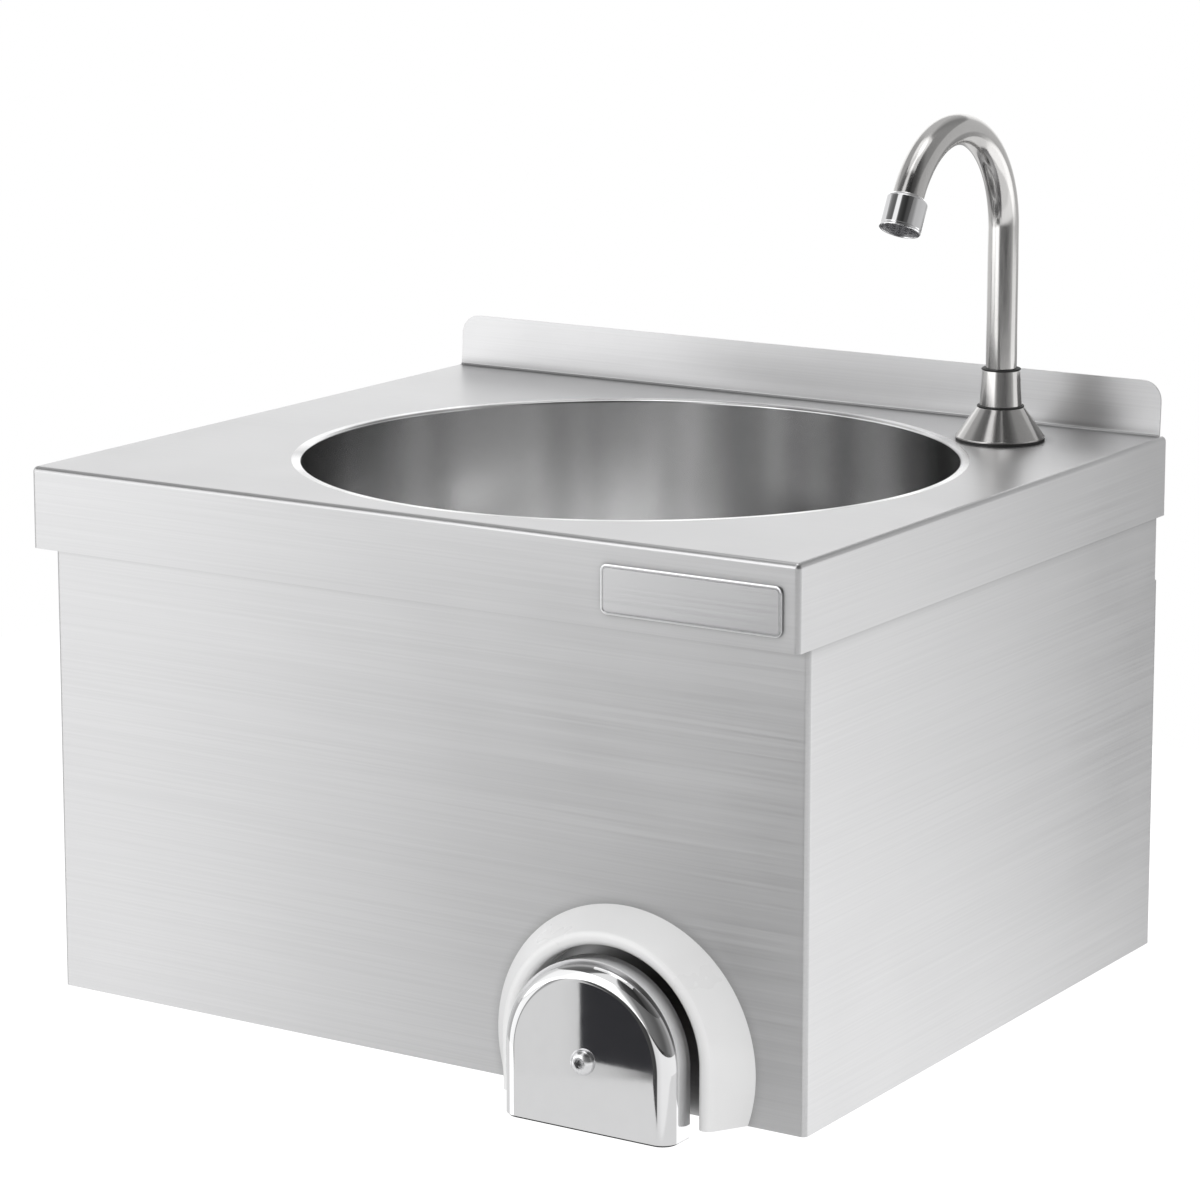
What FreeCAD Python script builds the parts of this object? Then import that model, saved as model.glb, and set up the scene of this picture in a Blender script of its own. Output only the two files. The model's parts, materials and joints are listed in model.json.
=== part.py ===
import FreeCAD, Part
import math
import os

from FreeCAD import Vector

# Wall-hung stainless steel hand wash sink, worked by the knee.
# Millimetres. +X to the right as the user sees it, +Y towards the wall, +Z up.
# The origin lies on the wall, midway between the two upper fixing holes.

# ---- driving dimensions: deck and casing -------------------------------------
SHEET = 1.2                    # stainless sheet of the deck, bowl and casing
DECK_WIDTH = 500.0
DECK_DEPTH = 430.0
DECK_TOP = 60.0                # deck surface above the fixing holes
APRON_DROP = 47.0
FOLD_RADIUS = 3.0              # outside radius of the deck's folds
SPLASH_RISE = 32.4
SPLASH_CORNER = 12.0
CASING_DROP = 308.0            # deck surface to the casing's lower edge
CASING_FRONT_INSET = 16.0
CASING_CORNER = 3.0
CASING_RETURN = 16.0           # inward flange round the casing's lower edge
REAR_FLANGE = 23.0
LIP_GAP = 2.0                  # apron's folded lip to the casing's front
WELD_GAP = 0.1

# ---- wall rail ---------------------------------------------------------------
RAIL_SHEET = 2.0
RAIL_HEIGHT = 50.0
RAIL_TAB = 30.0
RAIL_FLANGE = 12.0
RAIL_BEND = 4.0
RAIL_GAP = 1.0
WALL_HOLE_SPACING = 400.0
WALL_HOLE_RADIUS = 4.5
LOWER_HOLE_DROP = 200.0        # lower fixing holes below the upper ones
LOWER_HOLE_EDGE = 11.0         # lower hole centre from the casing's side

# ---- bowl and waste ----------------------------------------------------------
SPOUT_BESIDE_BOWL = 155.0      # spout's axis to the right of the bowl's
BOWL_FRONT_MARGIN = 23.0       # deck's front to the bowl's wall
BOWL_REAR_MARGIN = 31.0        # bowl's wall to the wall of the room
BOWL_EDGE_RADIUS = 2.0
BOWL_LAND = 3.0                # flat ring round the rolled edge, welded into the deck
BOWL_DEPTH = 158.0
BOWL_FLOOR_RADIUS = 62.0
BOWL_FALL = 4.4                # fall of the floor towards the waste
RECESS_RADIUS = 38.0
RECESS_DEPTH = 3.0
RECESS_SLOPE = 3.0
RECESS_BEND = 1.5
WASTE_HOLE_RADIUS = 26.0
GASKET = 1.5
LOWER_GASKET = 2.0
WASTE_FLANGE_RADIUS = 35.0
WASTE_FLANGE = 3.0
WASTE_CUP_RADIUS = 28.0
WASTE_CUP_DEPTH = 24.0
WASTE_WALL = 3.0
TAIL_RADIUS = 23.9             # G1 1/2 male
TAIL_LENGTH = 27.0
STRAINER_SHEET = 1.5
STRAINER_HOLE_RADIUS = 2.6
STRAINER_RING_RADII = (11.5, 20.0)
STRAINER_RING_HOLES = (6, 12)
STRAINER_SCREW_RADIUS = 3.0
STRAINER_SCREW_LENGTH = 27.0
STRAINER_HEAD_RADIUS = 5.5
STRAINER_HEAD = 2.2
STRAINER_SLOT = 1.2
SPIDER_BOSS_RADIUS = 5.5
SPIDER_ARM = 2.5

# ---- spout -------------------------------------------------------------------
SPOUT_FROM_SIDE = 78.0         # spout's axis to the deck's right side
SPOUT_FROM_WALL = 60.0
TUBE_RADIUS = 9.0
TUBE_WALL = 1.5
NECK_RADIUS = 62.0             # centreline radius of the bend
NECK_RISE = 125.0              # deck surface to the start of the bend
NECK_BEND = 152.0              # degrees turned by the bend
OUTLET_STRAIGHT = 8.0
AERATOR_RADIUS = 12.0
AERATOR_LENGTH = 20.0
AERATOR_SHOULDER = 2.0
AERATOR_WALL = 1.4
INSERT_LENGTH = 7.0
INSERT_HOLE_RADIUS = 1.1
INSERT_RING_RADII = (0.0, 3.9, 7.5)
INSERT_RING_HOLES = (1, 6, 12)
CONE_FOOT_RADIUS = 26.0
CONE_HEAD_RADIUS = 13.8
CONE_HEIGHT = 18.0
CONE_EDGE = 1.0
CONE_WALL = 2.2
COLLAR_FOOT_RADIUS = 12.3
COLLAR_HEAD_RADIUS = 11.0
COLLAR_HEIGHT = 20.8
COLLAR_THREAD = 7.5            # depth of the collar's thread on the shank
COLLAR_LIP = 6.0
SEAL_RING = 1.0                # black rings above and below the collar
SEAL_PROUD = 0.5               # upper ring past the collar's edge
SHANK_RADIUS = 10.4            # G1/2 male
SHANK_BELOW_DECK = 45.0
SHANK_BORE = 5.0
SPIGOT_LENGTH = 18.0
CLIP_THICKNESS = 1.2
CLIP_HEIGHT = 3.0              # clip groove above the tube's lower end
CLIP_OPENING = 3.0             # half the gap in the open clip
GROOVE_DEPTH = 0.6
SHANK_NUT_ACROSS = 27.0
SHANK_NUT = 8.0
SHANK_WASHER_RADIUS = 17.0

# ---- knee control ------------------------------------------------------------
KNEE_FROM_SIDE = 114.0         # knee control's axis to the deck's right side
KNEE_DROP = 275.0              # deck surface to the knee control's axis
KNEE_TRAVEL = 10.0
PAD_RADIUS = 53.0
PAD_FACE = 25.0                # pad's face in front of the deck's front
PAD_DEPTH = 21.0
PAD_EDGE_RADIUS = 10.0
PAD_BOTTOM_DROP = 312.5        # deck surface to the pad's lower edge
PAD_SHEET = 1.2
CORE_GAP = 0.3
CORE_PROUD = 2.0               # core stands out behind and below the steel cap
CORE_SHOWS_BELOW = 1.2
SHROUD_MOUTH = 57.0
SHROUD_DEPTH = 20.0
SHROUD_WALL = 2.5
SHROUD_LAND = 4.0              # front face between the mouth and the rounded nose
SHROUD_NOSE = 7.0              # radius of the nose
SHROUD_SLOPE = 40.0            # degrees between the flank and the pad's axis
SHROUD_DROP = 6.0              # outline's centre at the panel, below the pad's axis
SHROUD_TAPER = 4.6             # how far the feet of the outline draw in at the panel
SHROUD_LIP = 3.6               # radius round the mouth's front edge
SHROUD_NOSE_STEPS = 3
SHROUD_SCREW_DEGREES = (10, 90, 170)
SHROUD_SCREW_RADIUS = 65.0
SHROUD_SCREW_DEPTH = 9.0
SHROUD_BOSS_RADIUS = 4.0
ROD_RADIUS = 7.0
ROD_SEAT = 14.0                # core between the pad's sheet and the rod's end
M8_RADIUS = 4.0
M8_LENGTH = 27.0
M8_HEAD_RADIUS = 7.0
M8_HEAD = 4.4
M8_RIM = 1.2
M8_CROWN_RADIUS = 3.6
M8_DOME_RADIUS = 6.0           # head's radius halfway up its dome
M8_SOCKET_ACROSS = 5.0
M8_SOCKET_DEPTH = 2.6
ROD_DRILL = 1.2                # drilled past the screw's end
NOSE_RADIUS = 14.0
NOSE_LENGTH = 5.5              # valve nose in front of the panel
NOSE_NUT = 5.0
NOSE_NUT_ACROSS = 34.0
BUSH_RADIUS = 9.5
BUSH_FLANGE = 1.0
BUSH_FLANGE_RADIUS = 11.5
BUSH_LENGTH = 14.5
WEB = 4.7                      # wall between the bush and the plunger's bore
VALVE_FLANGE_RADIUS = 19.0
VALVE_FLANGE = 4.0
VALVE_RADIUS = 17.0
VALVE_BORE = 12.5
VALVE_HUB = 3.0                # outlet hub past the body
VALVE_HUB_RADIUS = 10.3
PLUNGER_LENGTH = 24.0
PLUNGER_WAIST = 9.5
WAIST_INSET = 4.0              # waist behind the plunger's front
WAIST_LENGTH = 6.0
CROSS_HOLE_RADIUS = 2.0
SEAL_WIDTH = 2.0
SEAL_GROOVE = 1.8
SPRING_LENGTH = 24.0
SPRING_RADIUS = 9.0
SPRING_WIRE = 0.9
SPRING_TURNS = 6
SPRING_ARC_PAIRS = 2           # pairs of arcs in each turn
SPRING_WIRE_SIDES = 8
PLUG_DEPTH = 7.0
PLUG_ACROSS = 30.0
PLUG_HEAD = 6.0

# ---- pipes, mixer and running fits -------------------------------------------
G38_RADIUS = 8.3               # G3/8 male
G38_LENGTH = 12.0
UNION_ACROSS = 20.0
PIPE_RADIUS = 6.0
PIPE_WALL = 1.0
PIPE_BEND = 20.0
RISER_FROM_CASING = 29.0       # riser's upright to the casing's side
RISER_CROSS_DROP = 120.0       # deck surface to the riser's run across to the spout
WASHER = 1.5
PIPE_COLLAR = 2.0
UNION_LIP = 3.0
MIXER_FROM_WALL = 150.0
MIXER_END = 4.0                # mixer's body past its branches
MIXER_RADIUS = 15.0
MIXER_BORE = 9.0
MIXER_BRANCH_RADIUS = 11.0
MIXER_BRANCH = 20.0            # branch end from the mixer's axis
INLET_SPACING = 60.0
NIPPLE_HEX = 5.0
NIPPLE_ACROSS = 19.0
NIPPLE_BORE = 6.0
NIPPLE_SPIGOT_RADIUS = 7.0
CARTRIDGE_LENGTH = 8.4
CARTRIDGE_WALL = 2.0
CARTRIDGE_STEM_RADIUS = 1.2
CARTRIDGE_ARM = 1.2
FILTER_THICKNESS = 1.0
FILTER_HOLE_RADIUS = 0.9
FILTER_HOLE_CIRCLE = 3.4
WATER_BORE = 4.5
KNOB_RADIUS = 14.0
KNOB_LENGTH = 18.0
KNOB_GAP = 3.0
KNOB_FLUTES = 10
KNOB_EDGE = 1.4
FLUTE_RADIUS = 3.4
FLUTE_CIRCLE = 15.7
GLAND_FLANGE = 2.4
SPINDLE_NECK_RADIUS = 4.5
STEM_RADIUS = 4.0
BRACKET_SHEET = 1.5
BRACKET_WIDTH = 40.0
BRACKET_TAB = 36.0
SCREW_RADIUS = 2.0
SCREW_HEAD_RADIUS = 3.6
SCREW_HEAD = 2.4
SCREW_CROWN_RADIUS = 2.5
MIXER_SCREW_LENGTH = 4.5
RUNNING_FIT = 0.05
HOLE_FIT = 0.3

# ---- badge plate -------------------------------------------------------------
PLATE_FROM_SIDE = 64.0         # plate's middle to the deck's right side
PLATE_DROP = 26.0
PLATE_WIDTH = 109.0
PLATE_HEIGHT = 27.0
PLATE_THICKNESS = 1.5
PLATE_CORNER = 4.0

# ---- planes and axes that several pieces share -------------------------------
DECK_UNDER = DECK_TOP - SHEET
DECK_FRONT = -DECK_DEPTH
APRON_BOTTOM = DECK_TOP - APRON_DROP
CASING_FRONT = DECK_FRONT + CASING_FRONT_INSET
CASING_HALF = DECK_WIDTH / 2 - FOLD_RADIUS     # sides stand under the flat of the deck
CASING_BOTTOM = DECK_TOP - CASING_DROP
PANEL_BACK = CASING_FRONT + SHEET
SPOUT_X = DECK_WIDTH / 2 - SPOUT_FROM_SIDE
KNEE_X = DECK_WIDTH / 2 - KNEE_FROM_SIDE
PLATE_X = DECK_WIDTH / 2 - PLATE_FROM_SIDE
BOWL_X = SPOUT_X - SPOUT_BESIDE_BOWL
BOWL_RADIUS = (DECK_DEPTH - BOWL_FRONT_MARGIN - BOWL_REAR_MARGIN) / 2
BOWL_Y = DECK_FRONT + BOWL_FRONT_MARGIN + BOWL_RADIUS
BOWL_LAND_RADIUS = BOWL_RADIUS + BOWL_EDGE_RADIUS + BOWL_LAND
FLOOR = DECK_TOP - BOWL_DEPTH
RECESS_FLOOR = FLOOR - RECESS_DEPTH
STRAINER_SEAT = RECESS_FLOOR + GASKET
STRAINER_TOP = STRAINER_SEAT + STRAINER_SHEET
WASTE_TOP = RECESS_FLOOR - SHEET - LOWER_GASKET
CUP_BOTTOM = WASTE_TOP - WASTE_CUP_DEPTH
TAIL_END = CUP_BOTTOM - TAIL_LENGTH
SPOUT_Y = -SPOUT_FROM_WALL
CONE_FOOT = DECK_TOP + GASKET
CONE_HEAD = CONE_FOOT + CONE_HEIGHT
COLLAR_FOOT = CONE_HEAD + SEAL_RING
COLLAR_HEAD = COLLAR_FOOT + COLLAR_HEIGHT
SPIGOT_FOOT = COLLAR_FOOT + COLLAR_THREAD
TUBE_FOOT = SPIGOT_FOOT + HOLE_FIT
TUBE_INNER = TUBE_RADIUS - TUBE_WALL
SHANK_END = DECK_TOP - SHANK_BELOW_DECK
KNEE_Z = DECK_TOP - KNEE_DROP
PAD_FRONT = DECK_FRONT - PAD_FACE
PAD_BACK = PAD_FRONT + PAD_DEPTH
PAD_BOTTOM = DECK_TOP - PAD_BOTTOM_DROP
CORE_BACK = PAD_BACK + CORE_PROUD
ROD_FRONT = PAD_FRONT + PAD_SHEET + ROD_SEAT
NOSE_FRONT = CASING_FRONT - NOSE_LENGTH
WEB_FRONT = NOSE_FRONT + BUSH_LENGTH
BORE_FRONT = WEB_FRONT + WEB
PLUNGER_FRONT = BORE_FRONT + HOLE_FIT
PLUNGER_BACK = PLUNGER_FRONT + PLUNGER_LENGTH
PLUG_FRONT = PLUNGER_BACK + SPRING_LENGTH
VALVE_BACK = PLUG_FRONT + PLUG_DEPTH
PLUG_BACK = VALVE_BACK + PLUG_HEAD
VALVE_INLET = PLUG_BACK + G38_LENGTH
WAIST_FRONT = PLUNGER_FRONT + WAIST_INSET
PORT_Y = WAIST_FRONT + WAIST_LENGTH / 2 + KNEE_TRAVEL
VALVE_OUTLET = KNEE_X + VALVE_RADIUS + VALVE_HUB + G38_LENGTH
RISER_X = CASING_HALF - RISER_FROM_CASING
RISER_CROSS_Z = DECK_TOP - RISER_CROSS_DROP
MIXER_Y = -MIXER_FROM_WALL
MIXER_LENGTH = INLET_SPACING + 2 * (MIXER_BRANCH_RADIUS + MIXER_END)
MIXER_RIGHT = KNEE_X + MIXER_LENGTH / 2
MIXER_OUTLET = MIXER_Y - MIXER_BRANCH - G38_LENGTH
NIPPLE_FOOT = MIXER_Y + MIXER_BRANCH
SHELF_TOP = KNEE_Z - MIXER_RADIUS

RIGHT = Vector(1, 0, 0)
BACK = Vector(0, 1, 0)
UP = Vector(0, 0, 1)
PAST = 5.0                     # how far a cut runs past the face it opens


# ---- shapes that many pieces are made from -----------------------------------
def line(start, end):
    return Part.makeLine(start, end)


def rounded_edges(corners, radii):
    """Straight runs through the corners, joined by tangent arcs."""
    edges = []
    start = corners[0]
    for before, corner, after, radius in zip(corners, corners[1:], corners[2:], radii):
        to_before = (before - corner).normalize()
        to_after = (after - corner).normalize()
        half_angle = to_before.getAngle(to_after) / 2
        reach = radius / math.tan(half_angle)
        first = corner + to_before * reach
        last = corner + to_after * reach
        inward = (to_before + to_after).normalize()
        middle = corner + inward * (radius / math.sin(half_angle) - radius)
        edges.append(line(start, first))
        edges.append(Part.Arc(first, middle, last).toShape())
        start = last
    edges.append(line(start, corners[-1]))
    return edges


def sheet_face(corners, radii, thickness, to_space):
    """Section of a bent sheet: its face runs through the corners and it lies to their left."""
    normals = []
    for (u0, v0), (u1, v1) in zip(corners, corners[1:]):
        length = math.hypot(u1 - u0, v1 - v0)
        normals.append((-(v1 - v0) / length, (u1 - u0) / length))
    other = [(corners[0][0] + normals[0][0] * thickness, corners[0][1] + normals[0][1] * thickness)]
    other_radii = []
    for (u, v), (nu0, nv0), (nu1, nv1), radius in zip(corners[1:], normals, normals[1:], radii):
        scale = thickness / (1 + nu0 * nu1 + nv0 * nv1)
        other.append((u + (nu0 + nu1) * scale, v + (nv0 + nv1) * scale))
        left_turn = nu0 * nv1 - nv0 * nu1 > 0
        other_radii.append(radius - thickness if left_turn else radius + thickness)
    other.append((corners[-1][0] + normals[-1][0] * thickness, corners[-1][1] + normals[-1][1] * thickness))
    near = [to_space(u, v) for u, v in corners]
    far = [to_space(u, v) for u, v in other]
    edges = rounded_edges(near, radii) + [line(near[-1], far[-1])]
    edges += rounded_edges(far, other_radii) + [line(far[0], near[0])]
    return Part.Face(Part.Wire(Part.__sortEdges__(edges)))


def turned(profile, origin, axis):
    """Solid turned round an axis from (along the axis, radius) corners."""
    side = UP.cross(axis) if abs(axis.z) < 0.9 else RIGHT.cross(axis).cross(axis) * -1
    side.normalize()
    corners = [origin + axis * along + side * radius for along, radius in profile]
    face = Part.Face(Part.makePolygon(corners + corners[:1]))
    return face.revolve(origin, axis, 360)


def rod(radius, origin, axis, length):
    return Part.makeCylinder(radius, length, origin, axis)


def ring(outer, inner, origin, axis, length):
    return rod(outer, origin, axis, length).cut(rod(inner, origin, axis, length))


def seal_ring(outer, inner, origin, axis, length):
    """Ring with a bevelled section, as a pressed O-ring has."""
    bevel = (outer - inner) / 4
    profile = [(0, inner + bevel), (bevel, inner), (length - bevel, inner), (length, inner + bevel)]
    profile += [(length, outer - bevel), (length - bevel, outer), (bevel, outer), (0, outer - bevel)]
    return turned(profile, origin, axis)


def hexagon(across, origin, axis, length):
    """Hexagonal bar with its corners chamfered at both ends."""
    side = (UP if abs(axis.z) < 0.9 else RIGHT).cross(axis).normalize()
    other = axis.cross(side)
    point = across / math.sqrt(3)
    turn = math.pi / 3
    corners = []
    for n in range(7):
        corners.append(origin + side * point * math.cos(n * turn) + other * point * math.sin(n * turn))
    bar = Part.Face(Part.makePolygon(corners)).extrude(axis * length)
    chamfer = (point - across / 2) / 2
    barrel = [(0, 0), (0, across / 2), (chamfer, point)]
    barrel += [(length - chamfer, point), (length, across / 2), (length, 0)]
    return bar.common(turned(barrel, origin, axis))


def nut(across, bore, origin, axis, length):
    return hexagon(across, origin, axis, length).cut(rod(bore, origin, axis, length))


def tube(corners, radii, outer, inner):
    """Pipe along straight runs joined by arcs."""
    solids = []
    for radius in (outer, inner):
        path = Part.Wire(rounded_edges(corners, radii))
        circle = Part.Wire(Part.Circle(corners[0], corners[1] - corners[0], radius).toShape())
        solids.append(path.makePipeShell([circle], True, False))
    return solids[0].cut(solids[1])


def box(low, high):
    size = high - low
    return Part.makeBox(size.x, size.y, size.z, low)


def edges_at(shape, test):
    """Edges of which every vertex passes the test."""
    return [edge for edge in shape.Edges if all(test(vertex.Point) for vertex in edge.Vertexes)]


def near(a, b):
    return abs(a - b) < 1e-4


# ---- deck, bowl and casing ---------------------------------------------------
def folded_tray(inset, radius, bottom, back):
    """Block with rounded front corners and top edges, open to be hollowed."""
    half = DECK_WIDTH / 2 - inset
    front = DECK_FRONT + inset
    top = DECK_TOP - inset
    block = box(Vector(-half, front, bottom), Vector(half, back, top))
    posts = edges_at(block, lambda p: near(p.y, front) and near(abs(p.x), half))
    posts = [edge for edge in posts if near(edge.Length, top - bottom)]
    block = block.makeFillet(radius, posts)
    rims = [edge for edge in edges_at(block, lambda p: near(p.z, top)) if not near(edge.CenterOfMass.y, back)]
    return block.makeFillet(radius, rims)


def make_deck():
    """Deck, apron, front lip and splashback folded from one sheet."""
    shell = folded_tray(0, FOLD_RADIUS, APRON_BOTTOM, 0)
    shell = shell.cut(folded_tray(SHEET, FOLD_RADIUS - SHEET, APRON_BOTTOM - PAST, PAST))
    half = DECK_WIDTH / 2 - FOLD_RADIUS
    fold = SHEET + FOLD_RADIUS
    shell = shell.cut(box(Vector(-half, -fold, DECK_UNDER - PAST), Vector(half, PAST, DECK_TOP + PAST)))
    splash_top = DECK_TOP + SPLASH_RISE
    section = [(-SHEET, splash_top), (-SHEET, DECK_TOP), (-fold - PAST, DECK_TOP)]
    face = sheet_face(section, [FOLD_RADIUS - SHEET], SHEET, lambda y, z: Vector(-half, y, z))
    splash = face.extrude(RIGHT * 2 * half)
    corners = edges_at(splash, lambda p: near(p.z, splash_top) and near(abs(p.x), half))
    splash = splash.makeFillet(SPLASH_CORNER, [edge for edge in corners if near(edge.Length, SHEET)])
    lip_reach = CASING_FRONT_INSET - LIP_GAP
    lip_half = DECK_WIDTH / 2 - SHEET
    lip = box(Vector(-lip_half, DECK_FRONT + SHEET / 2, APRON_BOTTOM),
              Vector(lip_half, DECK_FRONT + lip_reach, APRON_BOTTOM + SHEET))
    deck = shell.fuse([splash, lip])
    deck = deck.cut(rod(BOWL_LAND_RADIUS + WELD_GAP, Vector(BOWL_X, BOWL_Y, DECK_UNDER - PAST), UP, 2 * PAST))
    deck = deck.cut(rod(SHANK_RADIUS + HOLE_FIT, Vector(SPOUT_X, SPOUT_Y, DECK_UNDER - PAST), UP, 2 * PAST))
    return deck.removeSplitter()


def make_bowl():
    """Round bowl spun from one disc, its flat land flush with the deck."""
    recess_edge = RECESS_RADIUS + RECESS_SLOPE
    corners = [
        (BOWL_LAND_RADIUS, DECK_TOP),
        (BOWL_RADIUS, DECK_TOP),
        (BOWL_RADIUS, FLOOR + BOWL_FALL),
        (recess_edge, FLOOR),
        (RECESS_RADIUS, RECESS_FLOOR),
        (WASTE_HOLE_RADIUS, RECESS_FLOOR),
    ]
    radii = [BOWL_EDGE_RADIUS, BOWL_FLOOR_RADIUS, SHEET + RECESS_BEND / 2, RECESS_BEND]
    face = sheet_face(corners, radii, SHEET, lambda r, z: Vector(BOWL_X + r, BOWL_Y, z))
    return face.revolve(Vector(BOWL_X, BOWL_Y, 0), UP, 360)


def make_casing():
    """Front and sides folded from one sheet, with wall flanges and a lower return."""
    corners = [
        (REAR_FLANGE - CASING_HALF, 0),
        (-CASING_HALF, 0),
        (-CASING_HALF, CASING_FRONT),
        (CASING_HALF, CASING_FRONT),
        (CASING_HALF, 0),
        (CASING_HALF - REAR_FLANGE, 0),
    ]
    face = sheet_face(corners, [CASING_CORNER] * 4, SHEET, lambda x, y: Vector(x, y, CASING_BOTTOM))
    casing = face.extrude(UP * (DECK_UNDER - CASING_BOTTOM))
    inner = CASING_HALF - SHEET / 2
    plate = box(Vector(-inner, CASING_FRONT + SHEET / 2, CASING_BOTTOM),
                Vector(inner, -SHEET, CASING_BOTTOM + SHEET))
    mouth = CASING_HALF - CASING_RETURN
    plate = plate.cut(box(Vector(-mouth, CASING_FRONT + CASING_RETURN, CASING_BOTTOM - PAST),
                          Vector(mouth, PAST, CASING_BOTTOM + PAST)))
    posts = edges_at(plate, lambda p: near(p.y, CASING_FRONT + SHEET / 2) and near(abs(p.x), inner))
    plate = plate.makeFillet(CASING_CORNER - SHEET / 2, [edge for edge in posts if near(edge.Length, SHEET)])
    casing = casing.fuse(plate)
    window = RAIL_HEIGHT / 2 + RAIL_GAP
    for side in (-1, 1):
        hole_x = side * (CASING_HALF - LOWER_HOLE_EDGE)
        flange = sorted((side * (CASING_HALF - REAR_FLANGE - PAST), side * (CASING_HALF + PAST)))
        casing = casing.cut(box(Vector(flange[0], -CASING_CORNER - RAIL_GAP, -window),
                                Vector(flange[1], PAST, window)))
        casing = casing.cut(rod(WALL_HOLE_RADIUS, Vector(hole_x, -PAST, -LOWER_HOLE_DROP), BACK, 2 * PAST))
    nose_hole = Vector(KNEE_X, CASING_FRONT - PAST, KNEE_Z)
    casing = casing.cut(rod(NOSE_RADIUS + HOLE_FIT, nose_hole, BACK, 2 * PAST))
    for spot in shroud_screw_spots():
        casing = casing.cut(rod(SCREW_RADIUS + HOLE_FIT, spot - BACK * PAST, BACK, 2 * PAST))
    return casing.removeSplitter()


def make_wall_rail():
    """Rail on the wall that the sink hangs from, its ends welded to the casing's sides."""
    half = CASING_HALF - SHEET
    corners = [(half, -RAIL_TAB), (half, 0), (-half, 0), (-half, -RAIL_TAB)]
    face = sheet_face(corners, [RAIL_BEND] * 2, RAIL_SHEET, lambda x, y: Vector(x, y, -RAIL_HEIGHT / 2))
    rail = face.extrude(UP * RAIL_HEIGHT)
    reach = half - RAIL_BEND - RAIL_SHEET
    for low in (-RAIL_HEIGHT / 2, RAIL_HEIGHT / 2 - RAIL_SHEET):
        flange = box(Vector(-reach, -RAIL_FLANGE, low), Vector(reach, -RAIL_SHEET / 2, low + RAIL_SHEET))
        rail = rail.fuse(flange)
    for side in (-1, 1):
        rail = rail.cut(rod(WALL_HOLE_RADIUS, Vector(side * WALL_HOLE_SPACING / 2, -PAST, 0), BACK, 2 * PAST))
    return rail.removeSplitter()


def make_badge_plate():
    """Bare plate bonded to the apron."""
    bottom = DECK_TOP - PLATE_DROP - PLATE_HEIGHT / 2
    low = Vector(PLATE_X - PLATE_WIDTH / 2, DECK_FRONT - PLATE_THICKNESS, bottom)
    plate = box(low, low + Vector(PLATE_WIDTH, PLATE_THICKNESS, PLATE_HEIGHT))
    posts = [edge for edge in plate.Edges if near(edge.Length, PLATE_THICKNESS)]
    return plate.makeFillet(PLATE_CORNER, posts)


# ---- waste -------------------------------------------------------------------
def make_strainer():
    """Pierced strainer plate that the centre screw pulls down on the bowl."""
    foot = Vector(BOWL_X, BOWL_Y, STRAINER_SEAT)
    plate = ring(WASTE_FLANGE_RADIUS, STRAINER_SCREW_RADIUS + HOLE_FIT, foot, UP, STRAINER_SHEET)
    holes = []
    for radius, count in zip(STRAINER_RING_RADII, STRAINER_RING_HOLES):
        for n in range(count):
            angle = 2 * math.pi * n / count
            spot = foot + Vector(radius * math.cos(angle), radius * math.sin(angle), -PAST)
            holes.append(rod(STRAINER_HOLE_RADIUS, spot, UP, 2 * PAST))
    return plate.cut(Part.makeCompound(holes))


def make_strainer_screw():
    origin = Vector(BOWL_X, BOWL_Y, STRAINER_TOP)
    profile = [(STRAINER_HEAD, 0), (STRAINER_HEAD, STRAINER_HEAD_RADIUS), (0, STRAINER_HEAD_RADIUS)]
    profile += [(0, STRAINER_SCREW_RADIUS), (-STRAINER_SCREW_LENGTH, STRAINER_SCREW_RADIUS)]
    profile += [(-STRAINER_SCREW_LENGTH, 0)]
    screw = turned(profile, origin, UP)
    slot = Vector(STRAINER_HEAD_RADIUS + PAST, STRAINER_SLOT / 2, STRAINER_HEAD)
    return screw.cut(box(origin + Vector(-slot.x, -slot.y, STRAINER_HEAD / 2), origin + slot))


def make_waste_body():
    """Cup under the bowl with a spider for the centre screw and a threaded tail."""
    inner = WASTE_CUP_RADIUS - WASTE_WALL
    tail_inner = TAIL_RADIUS - WASTE_WALL
    profile = [
        (WASTE_TOP, inner),
        (WASTE_TOP, WASTE_FLANGE_RADIUS),
        (WASTE_TOP - WASTE_FLANGE, WASTE_FLANGE_RADIUS),
        (WASTE_TOP - WASTE_FLANGE, WASTE_CUP_RADIUS),
        (CUP_BOTTOM, WASTE_CUP_RADIUS),
        (CUP_BOTTOM, TAIL_RADIUS),
        (TAIL_END, TAIL_RADIUS),
        (TAIL_END, tail_inner),
        (CUP_BOTTOM, tail_inner),
        (CUP_BOTTOM + WASTE_WALL, inner),
    ]
    axis = Vector(BOWL_X, BOWL_Y, 0)
    body = turned(profile, axis, UP)
    boss_top = STRAINER_TOP - STRAINER_SCREW_LENGTH + (WASTE_TOP - CUP_BOTTOM) / 2
    boss_low = CUP_BOTTOM + WASTE_WALL
    arm = box(Vector(0, -SPIDER_ARM / 2, boss_low), Vector(inner + WASTE_WALL / 2, SPIDER_ARM / 2, boss_top))
    arms = []
    for n in range(3):
        copy = arm.copy()
        copy.rotate(Vector(0, 0, 0), UP, n * 120)
        copy.translate(axis)
        arms.append(copy)
    foot = axis + UP * boss_low
    body = body.fuse(arms + [rod(SPIDER_BOSS_RADIUS, foot, UP, boss_top - boss_low)])
    bore = rod(STRAINER_SCREW_RADIUS + RUNNING_FIT, foot - UP * PAST, UP, boss_top - boss_low + 2 * PAST)
    return body.cut(bore).removeSplitter()


def make_upper_gasket():
    return ring(WASTE_FLANGE_RADIUS, WASTE_HOLE_RADIUS, Vector(BOWL_X, BOWL_Y, RECESS_FLOOR), UP, GASKET)


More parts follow.
